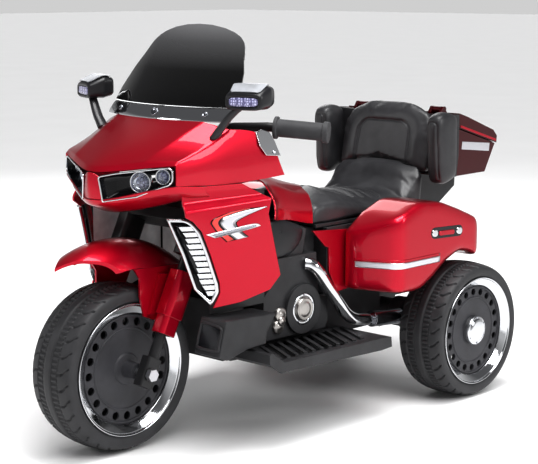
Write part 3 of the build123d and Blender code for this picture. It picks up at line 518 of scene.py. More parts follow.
def tread_depth(xs, rs, t, radius):
    """How deep the tread is cut at each angle and station: ribs between two grooves, then shoulder hooks."""
    ax = np.abs(xs)[None, :]
    depth = np.zeros_like(ax) * np.ones_like(t)
    for groove in GROOVES:
        depth = np.maximum(depth, GROOVE_DEPTH * (1 - smoothstep((np.abs(ax - groove) - 0.6) / 0.9)))
    band = smoothstep((ax - 10.6) / 0.8) * (1 - smoothstep((ax - 22.2) / 0.8))
    depth = np.maximum(depth, RIB_DEPTH * band * smoothstep(0.5 + 1.4 * np.sin(t * RIBS)))
    curl = 0.42 * smoothstep((ax - 27) / 18) ** 2 * np.sign(xs)[None, :]
    phase = (t * HOOKS / (2 * np.pi) + curl) % 1.0
    gap = np.abs(phase - 0.5) * (2 * np.pi * radius / HOOKS)
    reach = smoothstep((ax - 26.2) / 1.5) * (1 - smoothstep((ax - 43.5) / 2.5))
    reach = np.where((ax >= 43) & (rs[None, :] < 0.93 * radius), 0, reach)
    return np.maximum(depth, GROOVE_DEPTH * reach * (1 - smoothstep((gap - 1.2) / 1.3)))


def tyre(prefix, centre, radius, body):
    """Moulded tyre: the sidewall line, the tread cut into it, and a plain inside."""
    half = smooth_line([Vector((x, r * radius, 0)) for x, r in SIDEWALL], 6)
    wall = [(v.x, v.y) for v in half if v.x > 39.5 or v.y < 0.95 * radius]
    crown_x = [p.x for p in half if p.x <= 39.5][::-1]
    crown_r = [p.y for p in half if p.x <= 39.5][::-1]
    line = wall + [(x, float(np.interp(x, crown_x, crown_r))) for x in STATIONS]
    line += [(-x, r) for x, r in reversed(line[:-1])]
    xs, rs = np.array(line).T
    t = (np.arange(ROWS) * 2 * np.pi / ROWS)[:, None]
    rr = rs[None, :] - tread_depth(xs, rs, t, radius)
    verts = np.stack([np.broadcast_to(xs[None, :], rr.shape), rr * np.cos(t), rr * np.sin(t)], -1) * 0.001
    put(prefix + "_tyre_tread", [centre + Vector(v) for v in verts.reshape(-1, 3)],
        grid_faces(ROWS, len(line), wrap_rows=True), TYRE, body, (prefix + "_tyre",))
    turned(prefix + "_tyre_liner", centre, ALONG_X, [(x, r * radius) for x, r in LINER], TYRE, 96, body)


def wheel_trim(prefix, centre, radius, body):
    """Chrome dish rings and moulded rings on both sides of the wheel."""
    rim = smooth_line([Vector((x, r * radius, 0)) for x, r in RIM], 4)
    for s, tag in ((1, "out"), (-1, "in")):
        o = turned(f"{prefix}_rim_{tag}", centre, ALONG_X, [(s * v.x, v.y) for v in rim], CHROME, 144, body)
        if s > 0:
            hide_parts(prefix + "_rims")
        for part, ring in (("bead", DISC_BEAD), ("step", DISC_STEP)):
            turned(f"{prefix}_disc_{part}_{tag}", centre, ALONG_X, [(s * x, r * radius) for x, r in ring],
                   WHEEL_GREY, 120, body)


FRONT_RADIUS, REAR_RADIUS, REAR_X, REAR_Y = 140.0, 126.5, 208, 676
for prefix, x, y, radius in (("front", 0, 0, FRONT_RADIUS), ("rear_left", REAR_X, REAR_Y, REAR_RADIUS),
                             ("rear_right", -REAR_X, REAR_Y, REAR_RADIUS)):
    body = prefix + "_wheel"
    tyre(prefix, P(x, y, radius), radius, body)
    wheel_trim(prefix, P(x, y, radius), radius, body)
    paint(NODES[prefix + "_disc"].data, WHEEL_GREY)

for s, tag in SIDES:
    body = f"rear_{tag}_wheel"
    hub = P(s * REAR_X, REAR_Y, REAR_RADIUS)
    turned(f"rear_{tag}_cap_shown", hub, ALONG_X, [(s * x, r) for x, r in CAP], CHROME, 72, body,
           (f"rear_{tag}_cap",))
    for k in range(6):
        a = math.radians(60 * k + 30)
        dot = hub + Vector((s * 44.3, 23.8 * math.cos(a), 23.8 * math.sin(a))) * 0.001
        turned(f"rear_{tag}_cap_dot_{k}", dot, (s, 0, 0), [(-0.5, 1.6), (0.5, 1.6), (0.9, 1.1), (1.0, 0.01)],
               DARK_CHROME, 16, body)


# ---------------------------------------------------------------- sheets between four edges
def along(line, n):
    """n + 1 evenly spaced points along a polyline of (u, v) pairs."""
    pts = [Vector((*p, 0)) for p in line]
    seg = [(b - a).length for a, b in zip(pts, pts[1:])]
    out = []
    for k in range(n + 1):
        d = sum(seg) * k / n
        i = 0
        while i < len(seg) - 1 and d > seg[i]:
            d -= seg[i]
            i += 1
        out.append(pts[i].lerp(pts[i + 1], min(1.0, d / seg[i])))
    return out


def curve(line, n, closed=False):
    """(u, v) pairs along a smooth curve through a list of them, n a span."""
    return [(p.x, p.y) for p in smooth_line([Vector((*p, 0)) for p in line], n, closed)]


def ringed(outline, n):
    """n evenly spaced (u, v) pairs round a closed outline."""
    return [(p.x, p.y) for p in along(outline + [outline[0]], n)[:-1]]


def coons(top, bottom, left, right, nu, nv):
    """Rows of points filling four edges; left and right run from top to bottom."""
    t, b, le, ri = along(top, nu), along(bottom, nu), along(left, nv), along(right, nv)
    rows = []
    for j in range(nv + 1):
        v = j / nv
        row = []
        for i in range(nu + 1):
            u = i / nu
            p = t[i] * (1 - v) + b[i] * v + le[j] * (1 - u) + ri[j] * u
            p -= t[0] * (1 - u) * (1 - v) + t[-1] * u * (1 - v) + b[0] * (1 - u) * v + b[-1] * u * v
            row.append(p)
        rows.append(row)
    return rows


def sheet_mesh(name, rows, mat, wall, edge=0.6, replaces=(), flip=False):
    """A wall of that many mm behind a grid of points in metres."""
    o = put(name, sum(rows, []), grid_faces(len(rows), len(rows[0])), mat, replaces=replaces, recalc=False)
    walled(o, wall, 1.0 if flip else -1.0)
    settle(o)
    with editing(o.data) as bm:
        bmesh.ops.recalc_face_normals(bm, faces=bm.faces)
    if edge:
        round_edges(o, edge, 2, 50)
    return o


# ---------------------------------------------------------------- front cowl
HOOD = [
    [(0, -45, 467), (45, -25, 471), (86, -6, 477), (112, 7, 480), (137, 20, 484), (138.5, 20, 468),
     (137, 20, 451)],
    [(0, -38, 475), (46, -18, 480), (85, -1, 487), (112, 12, 488.5), (138, 28, 490), (141, 28, 470),
     (139, 28, 450)],
    [(0, -5, 495), (48, 8, 498), (90, 29, 504), (116, 41, 502), (141, 55, 499), (147, 56, 474),
     (143, 58, 448)],
    [(0, 42, 519), (50, 49, 521), (97, 67, 525), (123, 79, 518), (145, 89, 512), (153, 92, 480),
     (149, 94, 446.5)],
    [(0, 91.5, 545), (52, 95.5, 545.5), (105, 108, 545.5), (128, 119, 540), (150, 129, 534), (159, 132, 486),
     (157, 136, 446.5)],
    [None, None, None, None, (159.5, 172, 532), (167, 175, 487), (165, 186, 449)],
    [None, None, None, None, (167, 213, 511), (172.5, 217, 483), (171, 235, 453)],
]


def cage(name, rows, mat, wall, levels, crease_cols=(), crease_rows=(), edge=0.8, replaces=(), strength=0.8):
    """A subdivided skin over a cage of (x, y, z) mm points, mirrored across the middle; None leaves a gap."""
    bm = bmesh.new()
    layer = bm.edges.layers.float.new("crease_edge")
    for side in (1, -1):
        corner = {(i, j): bm.verts.new(P(side * p[0], *p[1:]))
                  for i, row in enumerate(rows) for j, p in enumerate(row) if p}
        for i, j in corner:
            keys = [(i, j), (i, j + 1), (i + 1, j + 1), (i + 1, j)][::side]
            if all(k in corner for k in keys):
                bm.faces.new([corner[k] for k in keys])
        for i, j in corner:
            for k, crisp in (((i + 1, j), j in crease_cols), ((i, j + 1), i in crease_rows)):
                e = bm.edges.get((corner[i, j], corner[k])) if crisp and k in corner else None
                if e:
                    e[layer] = strength
    bmesh.ops.remove_doubles(bm, verts=bm.verts, dist=1e-5)
    for v in bm.verts:
        if len(v.link_faces) == 1:
            for e in v.link_edges:
                e[layer] = 1.0
    bmesh.ops.recalc_face_normals(bm, faces=bm.faces)
    up = sum(f.normal.z + 0.3 * f.normal.dot(f.calc_center_median().normalized()) for f in bm.faces)
    if up < 0:
        bmesh.ops.reverse_faces(bm, faces=bm.faces)
    for f in bm.faces:
        f.smooth = True
    me = bpy.data.meshes.new(name)
    bm.to_mesh(me)
    bm.free()
    paint(me, mat)
    o = linked(name, me)
    modify(o, "smooth", "SUBSURF", levels=levels, render_levels=levels)
    walled(o, wall, -1.0)
    settle(o)
    if edge:
        round_edges(o, edge, 2, 50)
    return own(o, replaces=replaces)


cage("cowl_hood", HOOD, RED, 3.5, 3, crease_cols=(2, 4), crease_rows=(1,), replaces=("front_cowl",))
cage("cowl_nose", [
    [(0, -45.5, 468), (8, -42, 467), (17.5, -38, 461)],
    [(0, -47, 455), (9, -43, 452), (19, -38, 448)],
    [(0, -46, 440), (10, -42, 437), (21, -37.5, 436)],
    [(0, -43, 424), (12, -39, 423.5), (23.5, -35.5, 423.5)],
], RED, 4, 2)
cage("cowl_lip", [
    [(0, -43, 424), (23.5, -35.5, 423.5), (60, -18, 433), (100, 1, 443.5), (133, 18, 451), (139, 28, 450),
     (148, 70, 447)],
    [(0, -38, 415), (24, -31, 415), (62, -13, 424), (103, 8, 434.5), (134, 25, 441), (140, 40, 440),
     (147, 75, 438)],
    [(0, -6, 401), (30, -2, 403), (68, 14, 411), (103, 30, 421), (130, 42, 429), (139, 58, 431),
     (146, 85, 431)],
    [(0, 22, 404), (30, 24, 406), (66, 36, 412), (98, 48, 421), (122, 58, 428), (134, 70, 430),
     (142, 92, 430)],
], RED, 3, 2, crease_rows=(1, 2), strength=0.6)


LAMP_COS, LAMP_SIN = 0.893, 0.45


def lamp(u, z, depth, s):
    """A point on a headlight's plane, u mm along it and depth mm out of it."""
    return P(s * (12 + LAMP_COS * u + LAMP_SIN * depth), -42 + LAMP_SIN * u - LAMP_COS * depth, z)


WINDOW = [(14, 421), (7, 461), (36, 467), (118, 478.5), (130, 478.5), (134, 474), (134, 460), (130, 453),
          (100, 442), (72, 431)]
RECESS = [(30, 433), (26, 458), (44, 463), (116, 473), (124, 473), (126, 470), (126, 462), (122, 457),
          (98, 447), (74, 438)]


def scaled(points, k):
    """An outline scaled about the mean of its points."""
    cx = sum(p[0] for p in points) / len(points)
    cz = sum(p[1] for p in points) / len(points)
    return [(cx + (u - cx) * k, cz + (z - cz) * k) for u, z in points]


for s, tag in SIDES:
    levels = ((WINDOW, 1.0), (WINDOW, -3.0), (scaled(WINDOW, 0.93), -10.0), (RECESS, -24.0),
              (scaled(RECESS, 0.5), -24.6))
    rings = [[lamp(u, z, depth, s) for u, z in ringed(outline, 60)] for outline, depth in levels]
    put(f"lamp_bowl_{tag}", sum(rings, []), grid_faces(len(rings), 60, wrap_cols=True), GLOSS)
    trim = [lamp(u, z, 1.2, s) for u, z in curve(ringed(WINDOW, 48), 2, closed=True)]
    tube(f"lamp_trim_{tag}", trim, 1.5, CHROME, 10, closed=True)
    for k, (u, z, r) in enumerate(((73, 452.5, 15.5), (112, 463, 10.5))):
        foot = lamp(u, z, -24, s)
        facing = (s * LAMP_SIN, -LAMP_COS, 0)
        turned(f"lamp_ring_{tag}_{k}", foot, facing,
               [(0, r + 3), (8, r + 3.2), (10.5, r + 2.6), (11.2, r + 1.4), (10.4, r + 0.3), (6, r - 0.5),
                (3, r - 3),
                (2.2, r * 0.4), (2, 0.01)], CHROME)
        turned(f"lamp_lens_{tag}_{k}", foot, facing,
               [(4, r - 0.4), (8, r - 0.4), (10.5, r - 1.8), (13, r * 0.72), (14.8, r * 0.42), (15.4, 0.01)],
               LENS)
        turned(f"lamp_bulb_{tag}_{k}", foot, facing,
               [(2, r * 0.5), (5, r * 0.45), (7, r * 0.25), (7.6, 0.01)], LED)


# ---------------------------------------------------------------- windscreen and its strip
# the screen is a part of an upright cylinder that is 33 mm deep over a half width of 146 mm
SCREEN_HALF, SCREEN_RISE, SCREEN_FOOT_Z, SCREEN_SLOPE = 146.0, 33.0, 565, 0.753
SCREEN_R = (SCREEN_HALF ** 2 + SCREEN_RISE ** 2) / (2 * SCREEN_RISE)


def screen_point(x, z, margin):
    """Row-frame point on the windscreen's curved front, margin mm behind it."""
    back = (z - SCREEN_FOOT_Z) * SCREEN_SLOPE + margin
    return P(x, 107 + back + SCREEN_R - math.sqrt(SCREEN_R ** 2 - x * x), z)


top_half = [(0, 698), (30, 696.8), (60, 692), (82, 685.5), (98, 678), (108, 670), (114, 661), (118, 650)]
top_edge = [(-x, z) for x, z in reversed(top_half[1:])] + top_half
side_edge = [(118, 650), (133, 622), (144, 588), (143, 567.5)]
other_edge = [(-x, z) for x, z in side_edge]
sheet = coons(top_edge, [other_edge[-1], side_edge[-1]], other_edge, side_edge, 64, 28)
rows = [[screen_point(p.x, p.y, 1.5) for p in row] for row in sheet]
sheet_mesh("windscreen_sheet", rows, SCREEN, 2.8, 0.8, replaces=("windscreen",))

STRIP = ((544.6, 3.0), (545.4, 0.6), (548, -0.8), (552, -1.4), (558, -1.4), (563, -0.9), (566.4, 0.6),
         (567.4, 3.2))
STRIP_COLS = 81
rows = []
for z, margin in STRIP:
    half = 150 - max(0, z - 553) * 0.30
    rows.append([screen_point(half * (2 * i / (STRIP_COLS - 1) - 1), z, margin) for i in range(STRIP_COLS)])
sheet_mesh("windscreen_strip_skin", rows, CHROME, 3, 0.5, replaces=("windscreen_strip",))
for k, (x, r) in enumerate(((-104, 5.0), (0, 7.5), (104, 5.0))):
    facing = Vector((x / SCREEN_R, -math.sqrt(1 - (x / SCREEN_R) ** 2), 0.55))
    turned(f"strip_screw_{k}", screen_point(x, 557, -1.4), facing,
           [(-2, r), (0.8, r), (1.6, r - 0.7), (1.7, r - 1.6), (1.0, r - 2.2), (1.1, 0.01)], DARK_CHROME, 32)


# ---------------------------------------------------------------- fairing panel behind the grille
PANEL_COS, PANEL_SIN = 0.963, 0.27


def panel(u, z, d, s):
    """A point u mm along a fairing panel, d mm out of it."""
    return P(s * (140 + PANEL_SIN * u + PANEL_COS * d), 36 + PANEL_COS * u - PANEL_SIN * d, z)


def panel_depth(u, z):
    """How far the pressed panel stands in or out at that place."""
    crest = 404 + 0.09 * u
    gutter = 424 + 0.02 * u
    if z >= gutter:
        return -6.5 + 1.5 * smoothstep((z - 438) / 8)
    if z >= crest:
        return -6.5 + 8.5 * smoothstep((gutter - z) / (gutter - crest))
    fall = (crest - z) / 150
    belly = 1.5 * math.sin(math.pi * min(1, max(0, (u + 10) / 190))) * min(1, fall * 4)
    return 2.0 - 3.0 * smoothstep(fall * 1.2) + belly


P_TOP = [(-2, 446), (108, 446), (120, 440), (160, 420)]
P_BOTTOM = [(50.5, 246), (102, 251), (158, 266), (179, 289)]
P_LEFT = [(-2, 446), (0, 399), (14, 391), (29.5, 374), (45.5, 335), (62.5, 287), (63.5, 271), (50.5, 246)]
P_RIGHT = [(160, 420), (154, 394), (165, 348), (179, 289)]


def on_panel(rows, s, lift=0.0):
    """A grid of (u, z) laid on the pressed panel, lift mm above it."""
    return [[panel(p.x, p.y, panel_depth(p.x, p.y) + lift, s) for p in row][::s] for row in rows]


for s, tag in SIDES:
    rows = on_panel(coons(P_TOP, P_BOTTOM, P_LEFT, P_RIGHT, 60, 90), s)
    sheet_mesh(f"fairing_panel_{tag}", rows, RED, 3.5, 0.8, flip=True)

# foil on the panel: a silver sweep, a coral band beside it and a grey bar across both
SWEEP_TOP = [(93, 356), (79, 366), (66, 380), (63, 388), (72, 395.5), (108, 402.5), (150, 407)]
SWEEP_LOW = [(114, 359), (103, 367), (92, 379), (91, 385), (100, 390.5), (122, 398), (150, 406)]
CORAL_TOP = [(76, 354), (62, 367), (49, 383), (48, 389), (56, 394.5), (84, 402), (118, 406.5)]
CORAL_LOW = [(87, 357), (74, 367), (61, 380), (58.5, 387.5), (66, 394.5), (90, 401), (118, 405.8)]
BAR_TOP = [(36, 369), (80, 375), (127, 380), (138, 376)]
BAR_LOW = [(52, 362), (86, 367), (120, 372), (138, 375.5)]
FILL_TOP = [(44, 368.5), (80, 373.5), (122, 378), (130, 376)]
FILL_LOW = [(54, 364), (86, 368.6), (116, 373), (130, 375.6)]


def foil(name, top, bottom, mat, s, lift):
    """A foil lying on the pressed panel between two lines of (u, z)."""
    grid = coons(curve(top, 6), curve(bottom, 6), [top[0], bottom[0]], [top[-1], bottom[-1]], 60, 4)
    sheet_mesh(name, on_panel(grid, s, lift), mat, 0.3, 0, flip=True)


def widened(line, other, k):
    """The line moved away from the other by k of the gap between them."""
    return [(x + (x - u) * k, y + (y - v) * k) for (x, y), (u, v) in zip(line, other)]


for s, tag in SIDES:
    edge_top, edge_low = widened(CORAL_TOP, SWEEP_LOW, 0.06), widened(SWEEP_LOW, CORAL_TOP, 0.06)
    foil(f"panel_edge_{tag}", edge_top, edge_low, GLOSS, s, 0.5)
    foil(f"panel_coral_{tag}", CORAL_TOP, CORAL_LOW, CORAL, s, 0.9)
    foil(f"panel_sweep_{tag}", SWEEP_TOP, SWEEP_LOW, SILVER, s, 0.9)
    foil(f"panel_bar_{tag}", BAR_TOP, BAR_LOW, SILVER, s, 1.3)
    foil(f"panel_bar_fill_{tag}", FILL_TOP, FILL_LOW, DARK_CHROME, s, 1.7)


# ---------------------------------------------------------------- grilles

OUT_OF_GRILLE, ALONG_GRILLE = Vector((0.796, -0.601, -0.073)), Vector((0.603, 0.798, 0))
UP_GRILLE = OUT_OF_GRILLE.cross(ALONG_GRILLE)
GRILLE_CORNER = Vector((113, 20, 396))


def grille(u, v, d, s):
    """A point on a grille's plane: u along it, v up, d out of it."""
    o = GRILLE_CORNER + ALONG_GRILLE * u + UP_GRILLE * v + OUT_OF_GRILLE * d
    return P(s * o.x, o.y, o.z)


G_OUT = [(1, -1), (30, -2), (41.5, -8), (54.5, -23.5), (69, -62), (84, -110), (85.5, -125), (73.5, -148),
         (45.5, -119.5), (24.8, -59.5)]
G_IN = [(7, -6), (29, -7), (38.5, -12.5), (50, -27), (64, -64), (78.5, -112), (79.5, -124), (71.5, -139),
        (49.8, -117), (30, -58)]
FINS, FIN_TOP, FIN_PITCH, FIN_HEIGHT = 12, -14.57, 9.9, 8.0


def span_at(outline, v):
    """The outline's left and right u at height v."""
    hits = []
    for (u0, v0), (u1, v1) in zip(outline, outline[1:] + outline[:1]):
        if (v0 - v) * (v1 - v) < 0:
            hits.append(u0 + (u1 - u0) * (v - v0) / (v1 - v0))
    return min(hits), max(hits)


def between(outer, inner, k):
    """Pairs a part k of the way from outer to inner."""
    return [(u + (a - u) * k, v + (b - v) * k) for (u, v), (a, b) in zip(outer, inner)]


for s, tag in SIDES:
    facing = Vector((s * OUT_OF_GRILLE.x, OUT_OF_GRILLE.y, OUT_OF_GRILLE.z))
    outer, inner = ringed(G_OUT, 80), ringed(G_IN, 80)
    section = ((outer, -9), (outer, -1), (between(outer, inner, 0.2), 0.4),
               (between(outer, inner, 0.8), 0.2),
               (inner, -1), (inner, -9))
    rings = [[grille(u, v, d, s) for u, v in pts] for pts, d in section]
    put(f"grille_frame_{tag}", sum(rings, []), grid_faces(len(rings), 80, wrap_rows=True, wrap_cols=True),
        CHROME)
    slab(f"grille_back_{tag}", [grille(u, v, -9.5, s) for u, v in G_OUT][::s], facing, 1.2, GLOSS, 0)
    for k in range(FINS):
        v = FIN_TOP - FIN_PITCH * k
        (lo, hi), (lo2, hi2) = span_at(G_IN, v), span_at(G_IN, v - FIN_HEIGHT)
        step = 0.30 + 0.05 * math.sin(k * 1.3)
        a, b = lo + (hi - lo) * step, hi + 0.8
        a2, b2 = lo2 + (hi2 - lo2) * (step + 0.05), hi2 + 0.8
        near = [(a, v, -2.4), (b, v + 0.6, -1.6), (b2, v - 7.4, -3.4), (a2, v - FIN_HEIGHT, -4.2)]
        slab(f"grille_fin_{tag}_{k:02d}", [grille(u, w, d, s) for u, w, d in near][::s], facing, 1.6, CHROME,
             0.5)


# pale sheets round the inside of the front brackets, painted light as a stand-in for the bright backdrop seen
# through there, and the shield on the cowl's wing
BACKDROP_PATCH_SIDE = ((66, 418), (222, 418), (222, 262), (150, 240), (110, 262), (66, 330))
SHIELD = ((161.5, 176, 527), (162, 190, 531), (165, 205, 526), (168.8, 214, 510), (174.6, 222, 486),
          (172.6, 190, 489), (168.8, 178, 506))
slab("bracket_liner_rear", [P(x, 223.8, z) for x, z in ((-120, 262), (120, 262), (120, 412), (-120, 412))],
     (0, -1, 0), 1.4, PALE_BACKDROP_STANDIN, 0.4)
for s, tag in SIDES:
    slab(f"bracket_liner_{tag}", [P(s * 122.8, y, z) for y, z in BACKDROP_PATCH_SIDE][::s], (-s, 0, 0), 1.2, PALE_BACKDROP_STANDIN,
         0.4)
    facing = (s * 0.94, -0.18, 0.25)
    slab(f"wing_shield_{tag}", [P(s * x, y, z) for x, y, z in SHIELD][::s], facing, 2.4, CHROME, 0.8)
    turned(f"wing_shield_screw_{tag}", P(s * 173.2, 207, 493), facing,
           [(-1, 3), (0.8, 3), (1.4, 2.2), (1.0, 1.2), (1.0, 0.01)], DARK_CHROME, 20)


# ---------------------------------------------------------------- mirrors
TOE_OUT = math.radians(21)


MIRROR_AT = (198, 109, 582)


def on_head(s, u, depth, v):
    """A point of a mirror head: u across its face, depth behind it and v up, in mm."""
    x, y, z = MIRROR_AT
    return P(s * (x + u * math.cos(TOE_OUT) - depth * math.sin(TOE_OUT)),
             y + u * math.sin(TOE_OUT) + depth * math.cos(TOE_OUT), z + v)


def head_ring(s, depth, cx, cz, w, h, n=44, power=4.5):
    """A w by h rounded rectangle across a mirror's own axis."""
    out = []
    for k in range(n):
        c, d = math.cos(2 * math.pi * k / n), math.sin(2 * math.pi * k / n)
        r = 0.5 * (abs(c) ** power + abs(d) ** power) ** (-1 / power)
        out.append(on_head(s, cx + w * r * c, depth, cz + h * r * d))
    return out


# each ring as depth, middle across and up, width and height; the crown as depth, width and height
SHELL = ((4, 0, 0, 50, 14), (0.6, 0, 0, 53, 17), (0, 0, 0, 58, 22), (1.5, 0, 0, 62, 26),
         (5, 0.5, 1, 64.5, 29),
         (27, 2, 6, 69.5, 39), (30, 2, 6, 70, 40), (33, 2.2, 6.2, 69, 39), (45, 3, 7, 65, 35),
         (48, 3, 7, 61, 31),
         (48, 3, 7, 57, 28), (46.5, 3, 7, 55, 26))
FACE_LAMP = ((4.5, 0, 0, 50, 14), (1.2, 0, 0, 50, 14), (0.4, 0, 0, 47, 12), (0.2, 0, 0, 30, 6))
GLASS = ((46.2, 3, 7, 56, 27), (47.4, 3, 7, 55, 26))
CROWN = ((3, 44, 15.6), (8, 52, 17.4), (26, 58, 25.9), (30, 58, 26.7), (34, 56, 26.7), (44, 50, 24.9))
STEM = ((138, 104, 521), (146, 105, 531), (153, 106, 539), (163, 109, 552), (174, 114, 564), (184, 119, 573))
for s, tag in SIDES:
    for part, rings, mat in (("shell", SHELL, BLACK_SATIN), ("lamp", FACE_LAMP, LED),
                             ("glass", GLASS, MIRROR)):
        loft(f"mirror_{part}_{tag}", [head_ring(s, *ring) for ring in rings], mat)
    across = [k / 6 for k in range(-6, 7)][::s]
    crown = [[on_head(s, 1.5 + wide * 0.5 * u, depth, v - 0.8 * abs(u) ** 6) for u in across]
             for depth, wide, v in CROWN]
    sheet_mesh(f"mirror_crown_{tag}", crown, GREY, 1.4, 0.4, flip=True)
    stem = smooth_line([P(s * x, y, z) for x, y, z in STEM], 6)
    taper = [10.5 - 3.0 * i / (len(stem) - 1) for i in range(len(stem))]
    tube(f"mirror_stem_{tag}", stem, 8, BLACK_SATIN, 18, radii=taper, flat=0.6)


# ---------------------------------------------------------------- solids kept as built, with rounded edges
for node, mat, width in (
        ("front_fender", RED, 1.6), ("fork_shrouds", RED, 3.0), ("fork", FRAME_BLACK, 1.2),
        ("front_axle", STEEL, 0.6),
        ("handlebar", FRAME_BLACK, 1.2), ("grips", RUBBER, 1.2), ("footboards", BLACK, 1.3),
        ("belly_tub", BLACK, 2.0),
        ("engine_block", BLACK, 1.2), ("engine_covers", BLACK, 2.5), ("mufflers", DARK_CHROME, 1.0),
        ("front_bracket", BLACK, 1.5), ("dashboard", BLACK_SATIN, 1.6), ("side_covers", RED, 1.5),
        ("charge_socket", GLOSS, 0.5), ("rear_support", BLACK, 1.5), ("gearboxes", BLACK, 3.0),
        ("tail_lights", LAMP_RED, 1.8), ("pedal", BLACK, 1.5), ("start_button", LAMP_RED, 0.8),
        ("horn_button", GLOSS, 0.8), ("direction_rocker", GLOSS, 0.8), ("battery_tub", BLACK, 1.2)):
    soften(node, mat, width)
# the trunk body and lid take the darker copy of the candy red as painted shade
for node, mat, width in (("leg_guards", BLACK, 6.0), ("trunk_body", RED_PAINTED_SHADE, 4.0),
                         ("trunk_lid", RED_PAINTED_SHADE, 3.0)):
    soften(node, mat, width, 4)
for node, mat in (("chassis_frame", FRAME_BLACK), ("rear_axle", STEEL), ("battery", BATTERY),
                  ("seat_base", BLACK)):
    paint(NODES[node].data, mat)


# ---------------------------------------------------------------- engine, exhaust and scoops
CAP_RING = [(-1, 28), (4.8, 28), (5.8, 27.2), (6, 26), (6, 23), (5.2, 22), (3, 21.6), (3, 18)]
CAP_FACE = [(2, 20.4), (8.6, 20.4), (9.8, 19.6), (10.2, 18), (9.4, 16.4), (9.4, 14), (10.2, 12.6), (10.6, 9),
            (10.8, 0.01)]
EXHAUST = ((124, 336, 283), (131, 344, 281), (138, 354, 271), (140, 378, 240), (141, 410, 202),
           (141, 430, 181),
           (140, 456, 168), (139, 494, 160))
DOME_RIM = ((246, 366), (272, 368), (306, 360), (336, 345), (330, 322), (308, 305), (276, 298), (254, 306),
            (243, 336))
DOME_RINGS = ((0.99, 108), (1.0, 117), (0.985, 119.5), (0.94, 121.5), (0.82, 123.6), (0.62, 125.2),
              (0.35, 126.2),
              (0.08, 126.6))
SCOOP = ((138, 0.17), (180, 0.17), (182.5, 0.3), (182.5, 0.66), (178, 0.80), (139, 0.86), (135, 0.76),
         (134, 0.3))
for s, tag in SIDES:
    facing = (s, 0, 0)
    hub = P(s * 125, 328, 204)
    turned(f"engine_cap_ring_{tag}", hub, facing, CAP_RING, CHROME, 72)
    turned(f"engine_cap_face_{tag}", hub, facing, CAP_FACE, NICKEL, 72)
    for k in range(5):
        a = math.radians(72 * k + 18)
        turned(f"engine_cap_screw_{tag}_{k}", hub + Vector((0, math.cos(a), math.sin(a))) * 0.0252, facing,
               [(5.5, 1.7), (6.8, 1.7), (7.3, 1.1), (7.3, 0.01)], DARK_CHROME, 14)
    for part, y, z, r, h in (("upper", 272, 201, 13.5, 5.0), ("lower", 266, 181, 12.5, 5.0),
                             ("dome", 271, 191, 8.5, 8.5)):
        turned(f"engine_lobe_{part}_{tag}", P(s * 125, y, z), facing,
               [(-6, r), (h - 1.4, r), (h, r - 1.2), (h + 0.5, r - 3), (h + 0.5, r * 0.45),
                (h + 1.1, r * 0.40),
                (h + 1.2, 0.01)], NICKEL)
    tube(f"exhaust_pipe_{tag}", smooth_line([P(s * x, y, z) for x, y, z in EXHAUST], 8), 11.5, CHROME, 32)
    rim = smooth_line([P(0, y, z) for y, z in DOME_RIM], 6, closed=True)
    middle = sum(rim, Vector()) / len(rim)
    rings = [[middle + (p - middle) * k + Vector((s * x * 0.001, 0, 0)) for p in rim] for k, x in DOME_RINGS]
    loft(f"air_box_dome_{tag}", rings, BLACK_SATIN)
    mouth = smooth_line([P(s * x, 63 + 16 * k, 172 + 58 * k) for x, k in SCOOP], 5, closed=True)
    tube(f"scoop_rim_{tag}", mouth, 2.4, BLACK, 12, closed=True)
    floor_line = [P(s * x, 63.1 + 16 * k, 172 + 58 * k) for x, k in SCOOP][::s]
    slab(f"scoop_floor_{tag}", floor_line, (0, -0.96, -0.27), 1.2, GLOSS, 0.3)


# ---------------------------------------------------------------- saddlebags
def relax(o, passes, factor=0.5):
    """Evens a mesh out, so that its edges round off."""
    me = o.data
    co = np.empty(len(me.vertices) * 3)
    me.vertices.foreach_get("co", co)
    co = co.reshape(-1, 3)
    ends = np.empty(len(me.edges) * 2, dtype=np.int64)
    me.edges.foreach_get("vertices", ends)
    ends = ends.reshape(-1, 2)
    count = np.bincount(ends.ravel(), minlength=len(co))[:, None]
    for _ in range(passes):
        total = np.zeros_like(co)
        for axis in range(3):
            total[:, axis] = (np.bincount(ends[:, 0], co[ends[:, 1], axis], len(co))
                              + np.bincount(ends[:, 1], co[ends[:, 0], axis], len(co)))
        co += factor * (total / count - co)
    me.vertices.foreach_set("co", co.ravel())
    me.update()


def largest_island(bm):
    """Keeps only the largest connected part."""
    seen, islands = set(), []
    for v in bm.verts:
        if v in seen:
            continue
        seen.add(v)
        island, queue = [v], [v]
        while queue:
            near = {w for e in queue.pop().link_edges for w in e.verts} - seen
            seen |= near
            island += near
            queue += near
        islands.append(island)
    islands.sort(key=len, reverse=True)
    for island in islands[1:]:
        bmesh.ops.delete(bm, geom=island, context="VERTS")


def push_out(o, distance):
    """Moves each vertex along its normal by distance(vertex) mm, and shades the mesh smooth."""
    with editing(o.data) as bm:
        bm.normal_update()
        for v in bm.verts:
            v.co += v.normal * distance(v) * 0.001
        for f in bm.faces:
            f.smooth = True


def bag_shell(tag):
    """The outside of a saddlebag as one moulding with soft edges, in its place."""
    me = NODES[f"saddlebag_{tag}"].data.copy()
    paint(me, RED)
    o = linked(f"saddlebag_{tag}_shell", me)
    remeshed(o, 0.003)
    with editing(o.data) as bm:
        largest_island(bm)
    relax(o, 45)
    push_out(o, lambda v: BAG_SWELL)
    return own(o, replaces=(f"saddlebag_{tag}",))


REACH = 25


